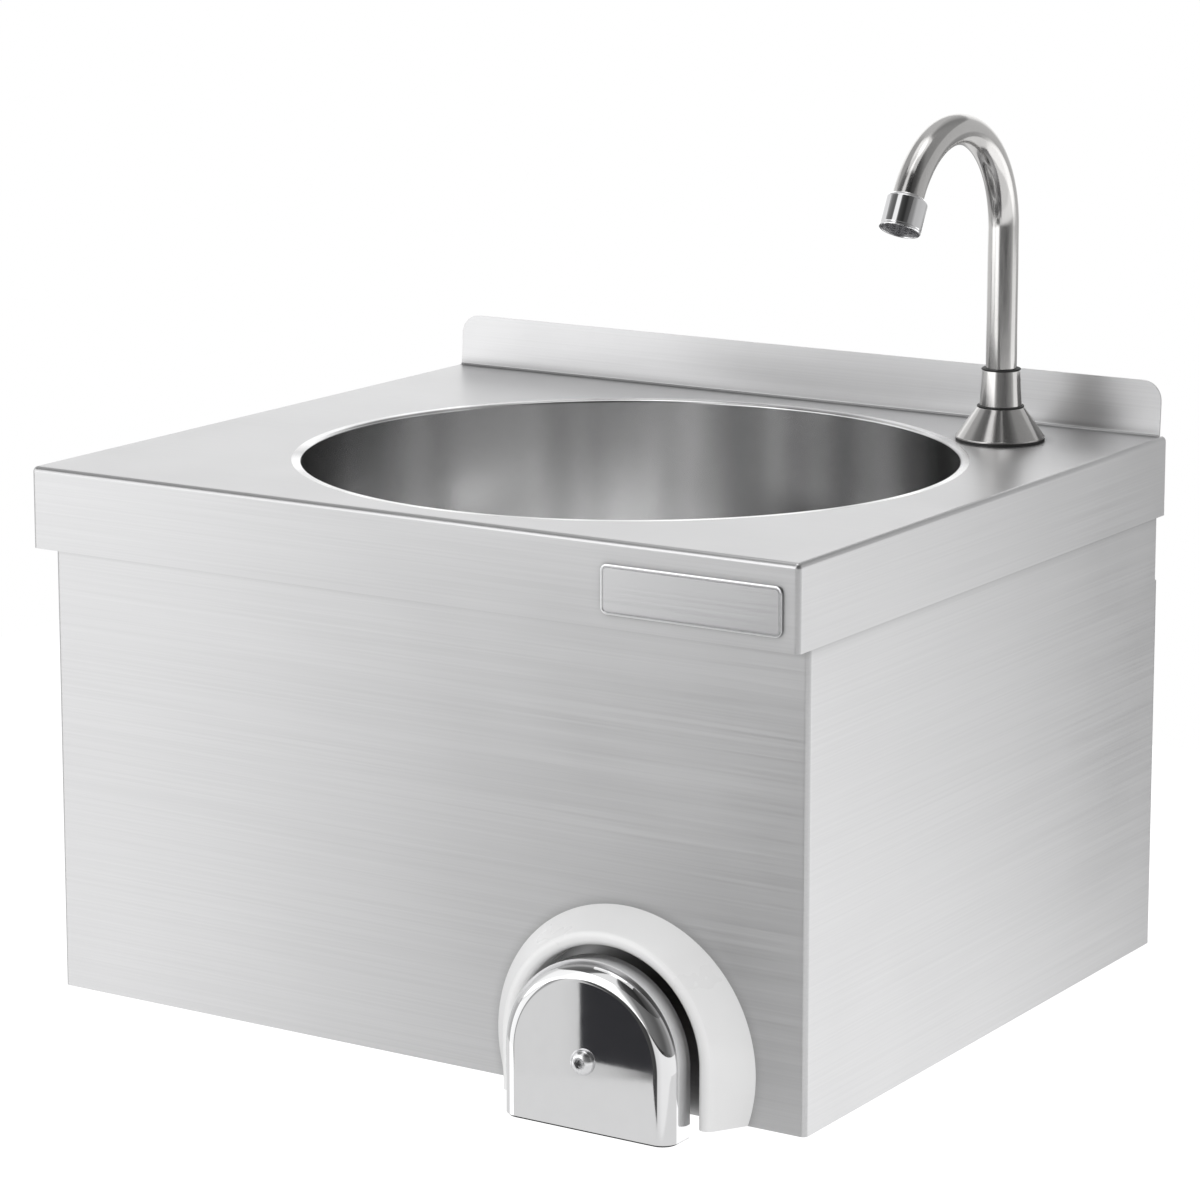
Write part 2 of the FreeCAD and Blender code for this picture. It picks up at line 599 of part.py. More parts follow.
def make_lower_gasket():
    return ring(WASTE_FLANGE_RADIUS, WASTE_HOLE_RADIUS, Vector(BOWL_X, BOWL_Y, WASTE_TOP), UP, LOWER_GASKET)


# ---- spout -------------------------------------------------------------------
def outlet_frame():
    """Point where the bend ends, and the direction of flow there."""
    bend = math.radians(NECK_BEND)
    reach = NECK_RADIUS * (1 - math.cos(bend))
    height = DECK_TOP + NECK_RISE + NECK_RADIUS * math.sin(bend)
    flow = Vector(0, -math.sin(bend), math.cos(bend))
    return Vector(SPOUT_X, SPOUT_Y - reach, height), flow


def neck(radius):
    """Upright, bend and outlet of the spout at one radius."""
    foot = Vector(SPOUT_X, SPOUT_Y, TUBE_FOOT)
    bend_start = Vector(SPOUT_X, SPOUT_Y, DECK_TOP + NECK_RISE)
    upright = rod(radius, foot, UP, bend_start.z - foot.z)
    disc = Part.Face(Part.Wire(Part.Circle(bend_start, UP, radius).toShape()))
    centre = bend_start - BACK * NECK_RADIUS
    bend = disc.revolve(centre, RIGHT, NECK_BEND)
    end, flow = outlet_frame()
    return upright.fuse([bend, rod(radius, end, flow, OUTLET_STRAIGHT)])


def make_spout_tube():
    """Bent stainless tube with a groove for its retaining clip."""
    spout = neck(TUBE_RADIUS).cut(neck(TUBE_INNER))
    groove_foot = Vector(SPOUT_X, SPOUT_Y, TUBE_FOOT + CLIP_HEIGHT)
    width = CLIP_THICKNESS + 2 * RUNNING_FIT
    groove = ring(TUBE_RADIUS + PAST, TUBE_RADIUS - GROOVE_DEPTH, groove_foot, UP, width)
    return spout.cut(groove).removeSplitter()


def make_spout_clip():
    """Open retaining clip in the tube's groove, held down by the collar's lip."""
    foot = Vector(SPOUT_X, SPOUT_Y, TUBE_FOOT + CLIP_HEIGHT + RUNNING_FIT)
    outer = SHANK_RADIUS - HOLE_FIT
    clip = ring(outer, TUBE_RADIUS - GROOVE_DEPTH + RUNNING_FIT, foot, UP, CLIP_THICKNESS)
    low = foot + Vector(-CLIP_OPENING, 0, -PAST)
    return clip.cut(box(low, foot + Vector(CLIP_OPENING, outer + PAST, PAST)))


def make_aerator_cap():
    """Chromed cap pressed on the outlet, with a chamfered shoulder and rim."""
    end, flow = outlet_frame()
    cavity = AERATOR_RADIUS - AERATOR_WALL
    bore = TUBE_RADIUS + RUNNING_FIT
    profile = [
        (0, bore),
        (0, AERATOR_RADIUS - AERATOR_SHOULDER),
        (AERATOR_SHOULDER, AERATOR_RADIUS),
        (AERATOR_LENGTH - AERATOR_WALL / 2, AERATOR_RADIUS),
        (AERATOR_LENGTH, AERATOR_RADIUS - AERATOR_WALL / 2),
        (AERATOR_LENGTH, cavity),
        (OUTLET_STRAIGHT + RUNNING_FIT, cavity),
        (OUTLET_STRAIGHT + RUNNING_FIT, bore),
    ]
    return turned(profile, end, flow)


def make_aerator_seal():
    end, flow = outlet_frame()
    outer = AERATOR_RADIUS - AERATOR_WALL - RUNNING_FIT
    return ring(outer, TUBE_INNER, end + flow * (OUTLET_STRAIGHT + RUNNING_FIT), flow, AERATOR_WALL)


def make_aerator_insert():
    """Pierced insert that mixes air into the water."""
    end, flow = outlet_frame()
    start = end + flow * (AERATOR_LENGTH - AERATOR_WALL - INSERT_LENGTH)
    outer = AERATOR_RADIUS - AERATOR_WALL - RUNNING_FIT
    head = OUTLET_STRAIGHT + RUNNING_FIT + 2 * AERATOR_WALL + INSERT_LENGTH - AERATOR_LENGTH
    step = outer - AERATOR_WALL
    profile = [(head, 0), (head, outer), (head / 2, outer), (head / 2, step), (0, step), (0, outer)]
    profile += [(INSERT_LENGTH, outer), (INSERT_LENGTH, 0)]
    insert = turned(profile, start, flow)
    holes = []
    for radius, count in zip(INSERT_RING_RADII, INSERT_RING_HOLES):
        for n in range(count):
            angle = 2 * math.pi * n / count
            spot = start + RIGHT * radius * math.cos(angle) + RIGHT.cross(flow) * radius * math.sin(angle)
            holes.append(rod(INSERT_HOLE_RADIUS, spot - flow * PAST, flow, INSERT_LENGTH + 2 * PAST))
    return insert.cut(Part.makeCompound(holes))


def make_collar():
    """Tapered collar that screws on the shank and keeps the clip down."""
    lip_low = COLLAR_HEAD - COLLAR_LIP
    profile = [
        (COLLAR_FOOT, SHANK_RADIUS + RUNNING_FIT),
        (COLLAR_FOOT, COLLAR_FOOT_RADIUS),
        (COLLAR_HEAD, COLLAR_HEAD_RADIUS),
        (COLLAR_HEAD, TUBE_RADIUS + RUNNING_FIT),
        (lip_low, TUBE_RADIUS + RUNNING_FIT),
        (lip_low, SHANK_RADIUS + RUNNING_FIT),
    ]
    return turned(profile, Vector(SPOUT_X, SPOUT_Y, 0), UP)


def make_collar_seal():
    foot = Vector(SPOUT_X, SPOUT_Y, COLLAR_HEAD)
    return ring(COLLAR_HEAD_RADIUS + SEAL_PROUD, TUBE_RADIUS + RUNNING_FIT, foot, UP, SEAL_RING)


def make_cone_seal():
    foot = Vector(SPOUT_X, SPOUT_Y, CONE_HEAD)
    return ring(CONE_HEAD_RADIUS - RUNNING_FIT, SHANK_RADIUS + RUNNING_FIT, foot, UP, SEAL_RING)


def make_cone():
    """Conical foot of the spout, hollow above the deck gasket."""
    bore = SHANK_RADIUS + HOLE_FIT
    profile = [
        (CONE_FOOT, CONE_FOOT_RADIUS - CONE_WALL),
        (CONE_FOOT, CONE_FOOT_RADIUS),
        (CONE_FOOT + CONE_EDGE, CONE_FOOT_RADIUS),
        (CONE_HEAD, CONE_HEAD_RADIUS),
        (CONE_HEAD, bore),
        (CONE_HEAD - CONE_WALL, bore),
    ]
    return turned(profile, Vector(SPOUT_X, SPOUT_Y, 0), UP)


def make_base_gasket():
    foot = Vector(SPOUT_X, SPOUT_Y, DECK_TOP)
    return ring(CONE_FOOT_RADIUS - RUNNING_FIT, SHANK_RADIUS + HOLE_FIT, foot, UP, GASKET)


def o_ring_heights():
    return [SPIGOT_FOOT + SPIGOT_LENGTH * share for share in (0.4, 0.75)]


def make_shank():
    """Threaded shank through the deck, with the spigot that the spout turns on."""
    spigot = TUBE_INNER - RUNNING_FIT
    profile = [
        (SHANK_END, SHANK_BORE),
        (SHANK_END, SHANK_RADIUS),
        (SPIGOT_FOOT, SHANK_RADIUS),
        (SPIGOT_FOOT, spigot),
        (SPIGOT_FOOT + SPIGOT_LENGTH, spigot),
        (SPIGOT_FOOT + SPIGOT_LENGTH, SHANK_BORE),
    ]
    shank = turned(profile, Vector(SPOUT_X, SPOUT_Y, 0), UP)
    for height in o_ring_heights():
        foot = Vector(SPOUT_X, SPOUT_Y, height)
        shank = shank.cut(ring(TUBE_RADIUS, TUBE_INNER - TUBE_WALL, foot, UP, TUBE_WALL))
    return shank


def make_spout_o_rings():
    rings = []
    outer = TUBE_INNER - RUNNING_FIT
    inner = TUBE_INNER - TUBE_WALL + RUNNING_FIT
    for height in o_ring_heights():
        foot = Vector(SPOUT_X, SPOUT_Y, height + RUNNING_FIT)
        rings.append(seal_ring(outer, inner, foot, UP, TUBE_WALL - 2 * RUNNING_FIT))
    return Part.makeCompound(rings)


def make_shank_gasket():
    foot = Vector(SPOUT_X, SPOUT_Y, DECK_UNDER - LOWER_GASKET)
    return ring(SHANK_WASHER_RADIUS, SHANK_RADIUS + HOLE_FIT, foot, UP, LOWER_GASKET)


def make_shank_washer():
    foot = Vector(SPOUT_X, SPOUT_Y, DECK_UNDER - LOWER_GASKET - WASHER)
    return ring(SHANK_WASHER_RADIUS, SHANK_RADIUS + HOLE_FIT, foot, UP, WASHER)


def make_shank_nut():
    foot = Vector(SPOUT_X, SPOUT_Y, DECK_UNDER - LOWER_GASKET - WASHER - SHANK_NUT)
    return nut(SHANK_NUT_ACROSS, SHANK_RADIUS + RUNNING_FIT, foot, UP, SHANK_NUT)


# ---- knee control ------------------------------------------------------------
def arch(radius, bottom, front, back):
    """Prism with a half-round head and straight legs, lying along Y."""
    left = Vector(KNEE_X - radius, front, KNEE_Z)
    right = Vector(KNEE_X + radius, front, KNEE_Z)
    top = Vector(KNEE_X, front, KNEE_Z + radius)
    left_foot = Vector(left.x, front, bottom)
    right_foot = Vector(right.x, front, bottom)
    edges = [line(left_foot, left), Part.Arc(left, top, right).toShape()]
    edges += [line(right, right_foot), line(right_foot, left_foot)]
    return Part.Face(Part.Wire(edges)).extrude(BACK * (back - front))


def rounded_arch(radius, bottom, front, back, edge_radius):
    """Arch prism whose front edge is rounded along its legs and head."""
    prism = arch(radius, bottom, front, back)
    rim = []
    for edge in edges_at(prism, lambda p: near(p.y, front)):
        if not near(edge.CenterOfMass.z, bottom):
            rim.append(edge)
    return prism.makeFillet(edge_radius, rim)


def make_knee_pad():
    """Pressed steel cap of the knee pad, open behind and below."""
    cap = rounded_arch(PAD_RADIUS, PAD_BOTTOM, PAD_FRONT, PAD_BACK, PAD_EDGE_RADIUS)
    hollow = rounded_arch(PAD_RADIUS - PAD_SHEET, PAD_BOTTOM - PAST, PAD_FRONT + PAD_SHEET, PAD_BACK + PAST,
                          PAD_EDGE_RADIUS - PAD_SHEET)
    cap = cap.cut(hollow)
    return cap.cut(rod(M8_RADIUS + HOLE_FIT, Vector(KNEE_X, PAD_FRONT - PAST, KNEE_Z), BACK, 2 * PAST))


def make_pad_core():
    """Moulded core inside the cap, with the pocket for the push rod."""
    radius = PAD_RADIUS - PAD_SHEET - CORE_GAP
    core = rounded_arch(radius, PAD_BOTTOM - CORE_SHOWS_BELOW, PAD_FRONT + PAD_SHEET, CORE_BACK,
                        PAD_EDGE_RADIUS - PAD_SHEET - CORE_GAP)
    core = core.cut(rod(M8_RADIUS + HOLE_FIT, Vector(KNEE_X, PAD_FRONT, KNEE_Z), BACK, PAD_DEPTH + PAST))
    return core.cut(rod(ROD_RADIUS + RUNNING_FIT, Vector(KNEE_X, ROD_FRONT, KNEE_Z), BACK, PAD_DEPTH))


def make_pad_screw():
    """Button-head socket screw that clamps cap and core to the push rod."""
    front = Vector(KNEE_X, PAD_FRONT, KNEE_Z)
    crown = front - BACK * M8_HEAD
    crown_edge = crown + RIGHT * M8_CROWN_RADIUS
    dome = front - BACK * (M8_HEAD + M8_RIM) / 2 + RIGHT * M8_DOME_RADIUS
    rim = front - BACK * M8_RIM + RIGHT * M8_HEAD_RADIUS
    under_head = front + RIGHT * M8_HEAD_RADIUS
    neck_edge = front + RIGHT * M8_RADIUS
    tip_edge = neck_edge + BACK * M8_LENGTH
    tip = front + BACK * M8_LENGTH
    outline = [
        line(crown, crown_edge),
        Part.Arc(crown_edge, dome, rim).toShape(),
        line(rim, under_head),
        line(under_head, neck_edge),
        line(neck_edge, tip_edge),
        line(tip_edge, tip),
        line(tip, crown),
    ]
    screw = Part.Face(Part.Wire(outline)).revolve(crown, BACK, 360)
    return screw.cut(hexagon(M8_SOCKET_ACROSS, crown - BACK * PAST, BACK, M8_SOCKET_DEPTH + PAST))


def make_push_rod():
    """Rod from the pad to the valve's plunger, threaded at the front."""
    front = Vector(KNEE_X, ROD_FRONT, KNEE_Z)
    push_rod = rod(ROD_RADIUS, front, BACK, PLUNGER_FRONT - ROD_FRONT)
    depth = PAD_FRONT + M8_LENGTH + RUNNING_FIT - ROD_FRONT
    return push_rod.cut(rod(M8_RADIUS + RUNNING_FIT, front, BACK, depth + ROD_DRILL))


def shroud_outline(radius, depth, bottom):
    """Outline of the half-moon at one depth: a half circle whose sides draw in towards their feet."""
    share = 1 - depth / SHROUD_DEPTH
    y = CASING_FRONT - depth
    centre = Vector(KNEE_X, y, KNEE_Z - SHROUD_DROP * share)
    fall = centre.z - bottom
    draw_in = SHROUD_TAPER * share * (fall / (centre.z - CASING_BOTTOM)) ** 2
    sides = []
    for side in (RIGHT, RIGHT * -1):
        shoulder = centre + side * radius
        foot = centre + side * (radius - draw_in) - UP * fall
        curve = Part.BezierCurve()
        curve.setPoles([foot, shoulder - UP * fall / 2, shoulder])
        sides.append((foot, shoulder, curve.toShape()))
    (right_foot, right, right_side), (left_foot, left, left_side) = sides
    head = Part.Arc(right, centre + UP * radius, left).toShape()
    return Part.Wire([line(left_foot, right_foot), right_side, head, left_side])


def shroud_form(inset, bottom):
    """Half-moon with a leaning flank and a rounded nose, moved in by an inset."""
    nose_radius = SHROUD_NOSE - inset
    nose_middle = SHROUD_DEPTH - SHROUD_NOSE
    land = SHROUD_MOUTH + SHROUD_LAND
    outlines = []
    for n in range(SHROUD_NOSE_STEPS + 1):
        angle = math.radians(90 - SHROUD_SLOPE * (1 - n / SHROUD_NOSE_STEPS))
        outlines.append((land + nose_radius * math.cos(angle), nose_middle + nose_radius * math.sin(angle)))
    radius, depth = outlines[0]
    outlines.insert(0, (radius + depth * math.tan(math.radians(SHROUD_SLOPE)), 0.0))
    return Part.makeLoft([shroud_outline(radius, depth, bottom) for radius, depth in outlines], True, True)


def make_shroud():
    """Moulded half-moon shroud round the pad, cut level with the casing's lower edge."""
    front = CASING_FRONT - SHROUD_DEPTH
    outside = shroud_form(0, CASING_BOTTOM)
    mouth_wall = arch(SHROUD_MOUTH + SHROUD_WALL, CASING_BOTTOM - PAST, front - PAST, CASING_FRONT + PAST)
    hollow = shroud_form(SHROUD_WALL, CASING_BOTTOM + SHROUD_WALL).cut(mouth_wall)
    shroud = outside.cut(hollow)
    bosses = []
    for spot in shroud_screw_spots():
        bosses.append(rod(SHROUD_BOSS_RADIUS, spot, BACK * -1, SHROUD_DEPTH).common(outside))
    shroud = shroud.fuse(bosses)
    shroud = shroud.cut(arch(SHROUD_MOUTH, CASING_BOTTOM - PAST, front - PAST, CASING_FRONT + PAST))
    reach = SHROUD_MOUTH + SHROUD_LAND / 2
    lip = edges_at(shroud, lambda p: near(p.y, front) and abs(p.x - KNEE_X) < reach and p.z - KNEE_Z < reach)
    lip = [edge for edge in lip if not near(edge.CenterOfMass.z, CASING_BOTTOM)]
    shroud = shroud.makeFillet(SHROUD_LIP, lip)
    for spot in shroud_screw_spots():
        bore = rod(SCREW_RADIUS + RUNNING_FIT, spot + BACK * PAST, BACK * -1, SHROUD_SCREW_DEPTH + PAST)
        shroud = shroud.cut(bore)
    return shroud.removeSplitter()


def shroud_screw_spots():
    """Three places round the half-moon, on the panel's face."""
    spots = []
    for degrees in SHROUD_SCREW_DEGREES:
        angle = math.radians(degrees)
        out = Vector(math.cos(angle), 0, math.sin(angle)) * SHROUD_SCREW_RADIUS
        spots.append(Vector(KNEE_X, CASING_FRONT, KNEE_Z) + out)
    return spots


def small_screw(seat, axis, length):
    """Pan-head screw: the head lies behind its seat and the shank runs along the axis."""
    profile = [(-SCREW_HEAD, 0), (-SCREW_HEAD, SCREW_CROWN_RADIUS), (-SCREW_HEAD / 2, SCREW_HEAD_RADIUS)]
    profile += [(0, SCREW_HEAD_RADIUS), (0, SCREW_RADIUS), (length, SCREW_RADIUS), (length, 0)]
    return turned(profile, seat, axis)


def make_shroud_screws():
    length = SHEET + SHROUD_SCREW_DEPTH - RUNNING_FIT
    seats = [spot + BACK * SHEET for spot in shroud_screw_spots()]
    return Part.makeCompound([small_screw(seat, BACK * -1, length) for seat in seats])


def make_rod_bush():
    """Flanged plain bearing that guides the push rod in the valve's nose."""
    bore = ROD_RADIUS + RUNNING_FIT
    outer = BUSH_RADIUS - RUNNING_FIT
    profile = [(-BUSH_FLANGE, bore), (-BUSH_FLANGE, BUSH_FLANGE_RADIUS), (0, BUSH_FLANGE_RADIUS), (0, outer)]
    profile += [(BUSH_LENGTH, outer), (BUSH_LENGTH, bore)]
    return turned(profile, Vector(KNEE_X, NOSE_FRONT, KNEE_Z), BACK)


def make_valve_nut():
    front = Vector(KNEE_X, CASING_FRONT - NOSE_NUT, KNEE_Z)
    return nut(NOSE_NUT_ACROSS, NOSE_RADIUS + RUNNING_FIT, front, BACK, NOSE_NUT)


def make_valve_body():
    """Self-closing valve: nose through the panel, flange behind it, bore for the plunger."""
    origin = Vector(KNEE_X, 0, KNEE_Z)
    profile = [
        (NOSE_FRONT, BUSH_RADIUS),
        (NOSE_FRONT, NOSE_RADIUS),
        (PANEL_BACK, NOSE_RADIUS),
        (PANEL_BACK, VALVE_FLANGE_RADIUS),
        (PANEL_BACK + VALVE_FLANGE, VALVE_FLANGE_RADIUS),
        (PANEL_BACK + VALVE_FLANGE, VALVE_RADIUS),
        (VALVE_BACK, VALVE_RADIUS),
        (VALVE_BACK, VALVE_BORE),
        (BORE_FRONT, VALVE_BORE),
        (BORE_FRONT, ROD_RADIUS + HOLE_FIT),
        (WEB_FRONT, ROD_RADIUS + HOLE_FIT),
        (WEB_FRONT, BUSH_RADIUS),
    ]
    body = turned(profile, origin, BACK)
    port = Vector(KNEE_X, PORT_Y, KNEE_Z)
    hub = VALVE_OUTLET - G38_LENGTH - KNEE_X
    stub = rod(VALVE_HUB_RADIUS, port, RIGHT, hub).fuse(rod(G38_RADIUS, port, RIGHT, VALVE_OUTLET - KNEE_X))
    body = body.fuse(stub.cut(rod(VALVE_BORE, origin + BACK * BORE_FRONT, BACK, VALVE_BACK - BORE_FRONT)))
    return body.cut(rod(WAIST_LENGTH / 2, port, RIGHT, VALVE_OUTLET - KNEE_X + PAST)).removeSplitter()


def plunger_ring_spots():
    """Front faces of the plunger's three seal grooves."""
    front = PLUNGER_FRONT + (WAIST_INSET - SEAL_WIDTH) / 2
    waist_back = WAIST_FRONT + WAIST_LENGTH
    return [front, waist_back + SEAL_WIDTH / 2, PLUNGER_BACK - SEAL_WIDTH * 3 / 2]


def make_plunger():
    """Hollow plunger: its waist meets the outlet port only when the pad is pressed."""
    outer = VALVE_BORE - RUNNING_FIT
    origin = Vector(KNEE_X, 0, KNEE_Z)
    plunger = rod(outer, origin + BACK * PLUNGER_FRONT, BACK, PLUNGER_LENGTH)
    plunger = plunger.cut(ring(outer + PAST, PLUNGER_WAIST, origin + BACK * WAIST_FRONT, BACK, WAIST_LENGTH))
    for spot in plunger_ring_spots():
        plunger = plunger.cut(ring(outer + PAST, outer - SEAL_GROOVE, origin + BACK * spot, BACK, SEAL_WIDTH))
    waist_middle = WAIST_FRONT + WAIST_LENGTH / 2
    bore_length = PLUNGER_BACK - waist_middle + PAST
    plunger = plunger.cut(rod(WATER_BORE, origin + BACK * waist_middle, BACK, bore_length))
    cross_hole = rod(CROSS_HOLE_RADIUS, origin + BACK * waist_middle - RIGHT * outer, RIGHT, 2 * outer)
    return plunger.cut(cross_hole)


def make_plunger_seals():
    outer = VALVE_BORE - RUNNING_FIT
    inner = outer - SEAL_GROOVE + RUNNING_FIT
    origin = Vector(KNEE_X, 0, KNEE_Z)
    seals = []
    for spot in plunger_ring_spots():
        foot = origin + BACK * (spot + RUNNING_FIT)
        seals.append(seal_ring(outer, inner, foot, BACK, SEAL_WIDTH - 2 * RUNNING_FIT))
    return Part.makeCompound(seals)


def helix_biarcs(origin, radius, length, turns, steps):
    """Helix along Y as pairs of tangent arcs, one pair for each part of a turn."""
    climb = length / (2 * math.pi * turns)

    def point(angle):
        return origin + Vector(radius * math.cos(angle), climb * angle, radius * math.sin(angle))

    def heading(angle):
        return Vector(-radius * math.sin(angle), climb, radius * math.cos(angle)).normalize()

    edges = []
    count = turns * steps
    for n in range(count):
        low = 2 * math.pi * n / steps
        high = 2 * math.pi * (n + 1) / steps
        start, end = point(low), point(high)
        start_way, end_way = heading(low), heading(high)
        chord = end - start
        ways = start_way + end_way
        a = 2 * (1 - start_way.dot(end_way))
        b = 2 * chord.dot(ways)
        reach = (-b + math.sqrt(b * b + 4 * a * chord.dot(chord))) / (2 * a)
        joint = (start + end + (start_way - end_way) * reach) * 0.5
        for tip, way, far in ((start, start_way, joint), (end, end_way * -1, joint)):
            span = far - tip
            normal = span - way * span.dot(way)
            arc_radius = span.dot(span) / (2 * normal.Length)
            centre = tip + normal.normalize() * arc_radius
            middle = centre + ((tip - centre) + (far - centre)).normalize() * arc_radius
            first, last = (tip, far) if tip is start else (far, tip)
            edges.append(Part.Arc(first, middle, last).toShape())
    return edges


def make_return_spring():
    """Compression spring behind the plunger."""
    free = SPRING_LENGTH - 2 * SPRING_WIRE - 2 * RUNNING_FIT
    origin = Vector(KNEE_X, PLUNGER_BACK + SPRING_WIRE + RUNNING_FIT, KNEE_Z)
    edges = helix_biarcs(origin, SPRING_RADIUS, free, SPRING_TURNS, SPRING_ARC_PAIRS)
    path = Part.Wire(edges)
    start_way = edges[0].tangentAt(edges[0].FirstParameter)
    start = origin + RIGHT * SPRING_RADIUS
    across = start_way.cross(RIGHT)
    corners = []
    for n in range(SPRING_WIRE_SIDES + 1):
        angle = 2 * math.pi * n / SPRING_WIRE_SIDES
        corners.append(start + (RIGHT * math.cos(angle) + across * math.sin(angle)) * SPRING_WIRE)
    spring = path.makePipeShell([Part.makePolygon(corners)], True, False)
    print("spring: gap between turns %.2f mm" % (free / SPRING_TURNS - 2 * SPRING_WIRE))
    return spring


def make_valve_plug():
    """Plug that closes the valve and carries its inlet thread."""
    origin = Vector(KNEE_X, 0, KNEE_Z)
    spigot = rod(VALVE_BORE - RUNNING_FIT, origin + BACK * PLUG_FRONT, BACK, PLUG_DEPTH)
    head = hexagon(PLUG_ACROSS, origin + BACK * VALVE_BACK, BACK, PLUG_HEAD)
    thread = rod(G38_RADIUS, origin + BACK * PLUG_BACK, BACK, G38_LENGTH)
    bore = rod(WATER_BORE, origin + BACK * (PLUG_FRONT - PAST), BACK, VALVE_INLET - PLUG_FRONT + 2 * PAST)
    return spigot.fuse([head, thread]).cut(bore).removeSplitter()


# ---- pipes -------------------------------------------------------------------
def union_collar(end, away, thread_radius):
    """Flat collar on a pipe's end, one washer away from the thread's end."""
    outer = thread_radius - HOLE_FIT
    return ring(outer, PIPE_RADIUS - PIPE_WALL, end + away * WASHER, away, PIPE_COLLAR)


def union_washer(end, away, thread_radius):
    return ring(thread_radius - HOLE_FIT, PIPE_RADIUS - PIPE_WALL, end, away, WASHER)


def union_nut(end, away, thread_radius, across):
    """Nut over the thread and the pipe's collar."""
    grip = G38_LENGTH * 2 / 3
    inside = grip + WASHER + PIPE_COLLAR
    foot = end - away * grip
    body = hexagon(across, foot, away, inside + UNION_LIP)
    body = body.cut(rod(thread_radius + RUNNING_FIT, foot, away, inside))
    return body.cut(rod(PIPE_RADIUS + RUNNING_FIT, foot, away, inside + UNION_LIP))


FEED_ENDS = (
    (Vector(KNEE_X, VALVE_INLET, KNEE_Z), BACK),
    (Vector(KNEE_X, MIXER_OUTLET, KNEE_Z), BACK * -1),
)
RISER_FOOT = (Vector(VALVE_OUTLET, PORT_Y, KNEE_Z), RIGHT)
RISER_HEAD = (Vector(SPOUT_X, SPOUT_Y, SHANK_END), UP * -1)


def make_feed_pipe():
    """Straight pipe from the mixer to the valve."""
    (start, way), (end, back_way) = FEED_ENDS
    first = start + way * WASHER
    length = (end + back_way * WASHER - first).Length
    pipe = ring(PIPE_RADIUS, PIPE_RADIUS - PIPE_WALL, first, way, length)
    collars = [union_collar(point, away, G38_RADIUS) for point, away in FEED_ENDS]
    return pipe.fuse(collars).removeSplitter()


def make_riser_pipe():
    """Bent pipe from the valve's outlet, back and up beside the bowl, then across to the spout."""
    first = RISER_FOOT[0] + RISER_FOOT[1] * WASHER
    last = RISER_HEAD[0] + RISER_HEAD[1] * WASHER
    corners = [
        first,
        Vector(RISER_X, PORT_Y, KNEE_Z),
        Vector(RISER_X, SPOUT_Y, KNEE_Z),
        Vector(RISER_X, SPOUT_Y, RISER_CROSS_Z),
        Vector(SPOUT_X, SPOUT_Y, RISER_CROSS_Z),
        last,
    ]
    pipe = tube(corners, [PIPE_BEND] * 4, PIPE_RADIUS, PIPE_RADIUS - PIPE_WALL)
    collars = [
        union_collar(RISER_FOOT[0], RISER_FOOT[1], G38_RADIUS),
        union_collar(RISER_HEAD[0], RISER_HEAD[1], SHANK_RADIUS),
    ]
    return pipe.fuse(collars).removeSplitter()


def make_union_nuts():
    ends = FEED_ENDS + (RISER_FOOT,)
    return Part.makeCompound([union_nut(end, away, G38_RADIUS, UNION_ACROSS) for end, away in ends])


def make_spout_union_nut():
    return union_nut(RISER_HEAD[0], RISER_HEAD[1], SHANK_RADIUS, SHANK_NUT_ACROSS - SHEET)


def make_union_washers():
    washers = [union_washer(end, away, G38_RADIUS) for end, away in FEED_ENDS + (RISER_FOOT,)]
    washers.append(union_washer(RISER_HEAD[0], RISER_HEAD[1], SHANK_RADIUS))
    return Part.makeCompound(washers)


# ---- mixer -------------------------------------------------------------------
def inlet_feet():
    """Hot inlet on the left, cold on the right, both facing the wall."""
    return [Vector(KNEE_X + side * INLET_SPACING / 2, NIPPLE_FOOT, KNEE_Z) for side in (-1, 1)]


def mixer_screw_spots():
    return [Vector(KNEE_X + side * INLET_SPACING / 4, MIXER_Y, SHELF_TOP - BRACKET_SHEET) for side in (-1, 1)]


def make_mixer_body():
    """Mixing tee: two inlets towards the wall, one outlet towards the valve."""
    left = Vector(KNEE_X - MIXER_LENGTH / 2, MIXER_Y, KNEE_Z)
    body = rod(MIXER_RADIUS, left, RIGHT, MIXER_LENGTH)
    centre = Vector(KNEE_X, MIXER_Y, KNEE_Z)
    branches = []
    for foot in inlet_feet():
        branches.append(rod(MIXER_BRANCH_RADIUS, foot - BACK * MIXER_BRANCH, BACK, MIXER_BRANCH))
    branches.append(rod(MIXER_BRANCH_RADIUS, centre, BACK * -1, MIXER_BRANCH))
    branches.append(rod(G38_RADIUS, centre, BACK * -1, MIXER_BRANCH + G38_LENGTH))
    foot_depth = MIXER_BRANCH_RADIUS
    for spot in mixer_screw_spots():
        branches.append(box(Vector(spot.x - foot_depth, MIXER_Y - foot_depth, SHELF_TOP),
                            Vector(spot.x + foot_depth, MIXER_Y + foot_depth, SHELF_TOP + MIXER_RADIUS / 2)))
    body = body.fuse(branches)
    end_wall = MIXER_RADIUS - MIXER_BORE
    body = body.cut(rod(MIXER_BORE, left + RIGHT * end_wall, RIGHT, MIXER_LENGTH))
    body = body.cut(rod(WATER_BORE, centre, BACK * -1, MIXER_BRANCH + G38_LENGTH + PAST))
    for foot in inlet_feet():
        body = body.cut(rod(WATER_BORE, foot - BACK * MIXER_BRANCH, BACK, MIXER_BRANCH + PAST))
        body = body.cut(rod(NIPPLE_SPIGOT_RADIUS, foot - BACK * NIPPLE_HEX, BACK, NIPPLE_HEX + PAST))
    for spot in mixer_screw_spots():
        body = body.cut(rod(SCREW_RADIUS + RUNNING_FIT, spot, UP, end_wall))
    return body.removeSplitter()


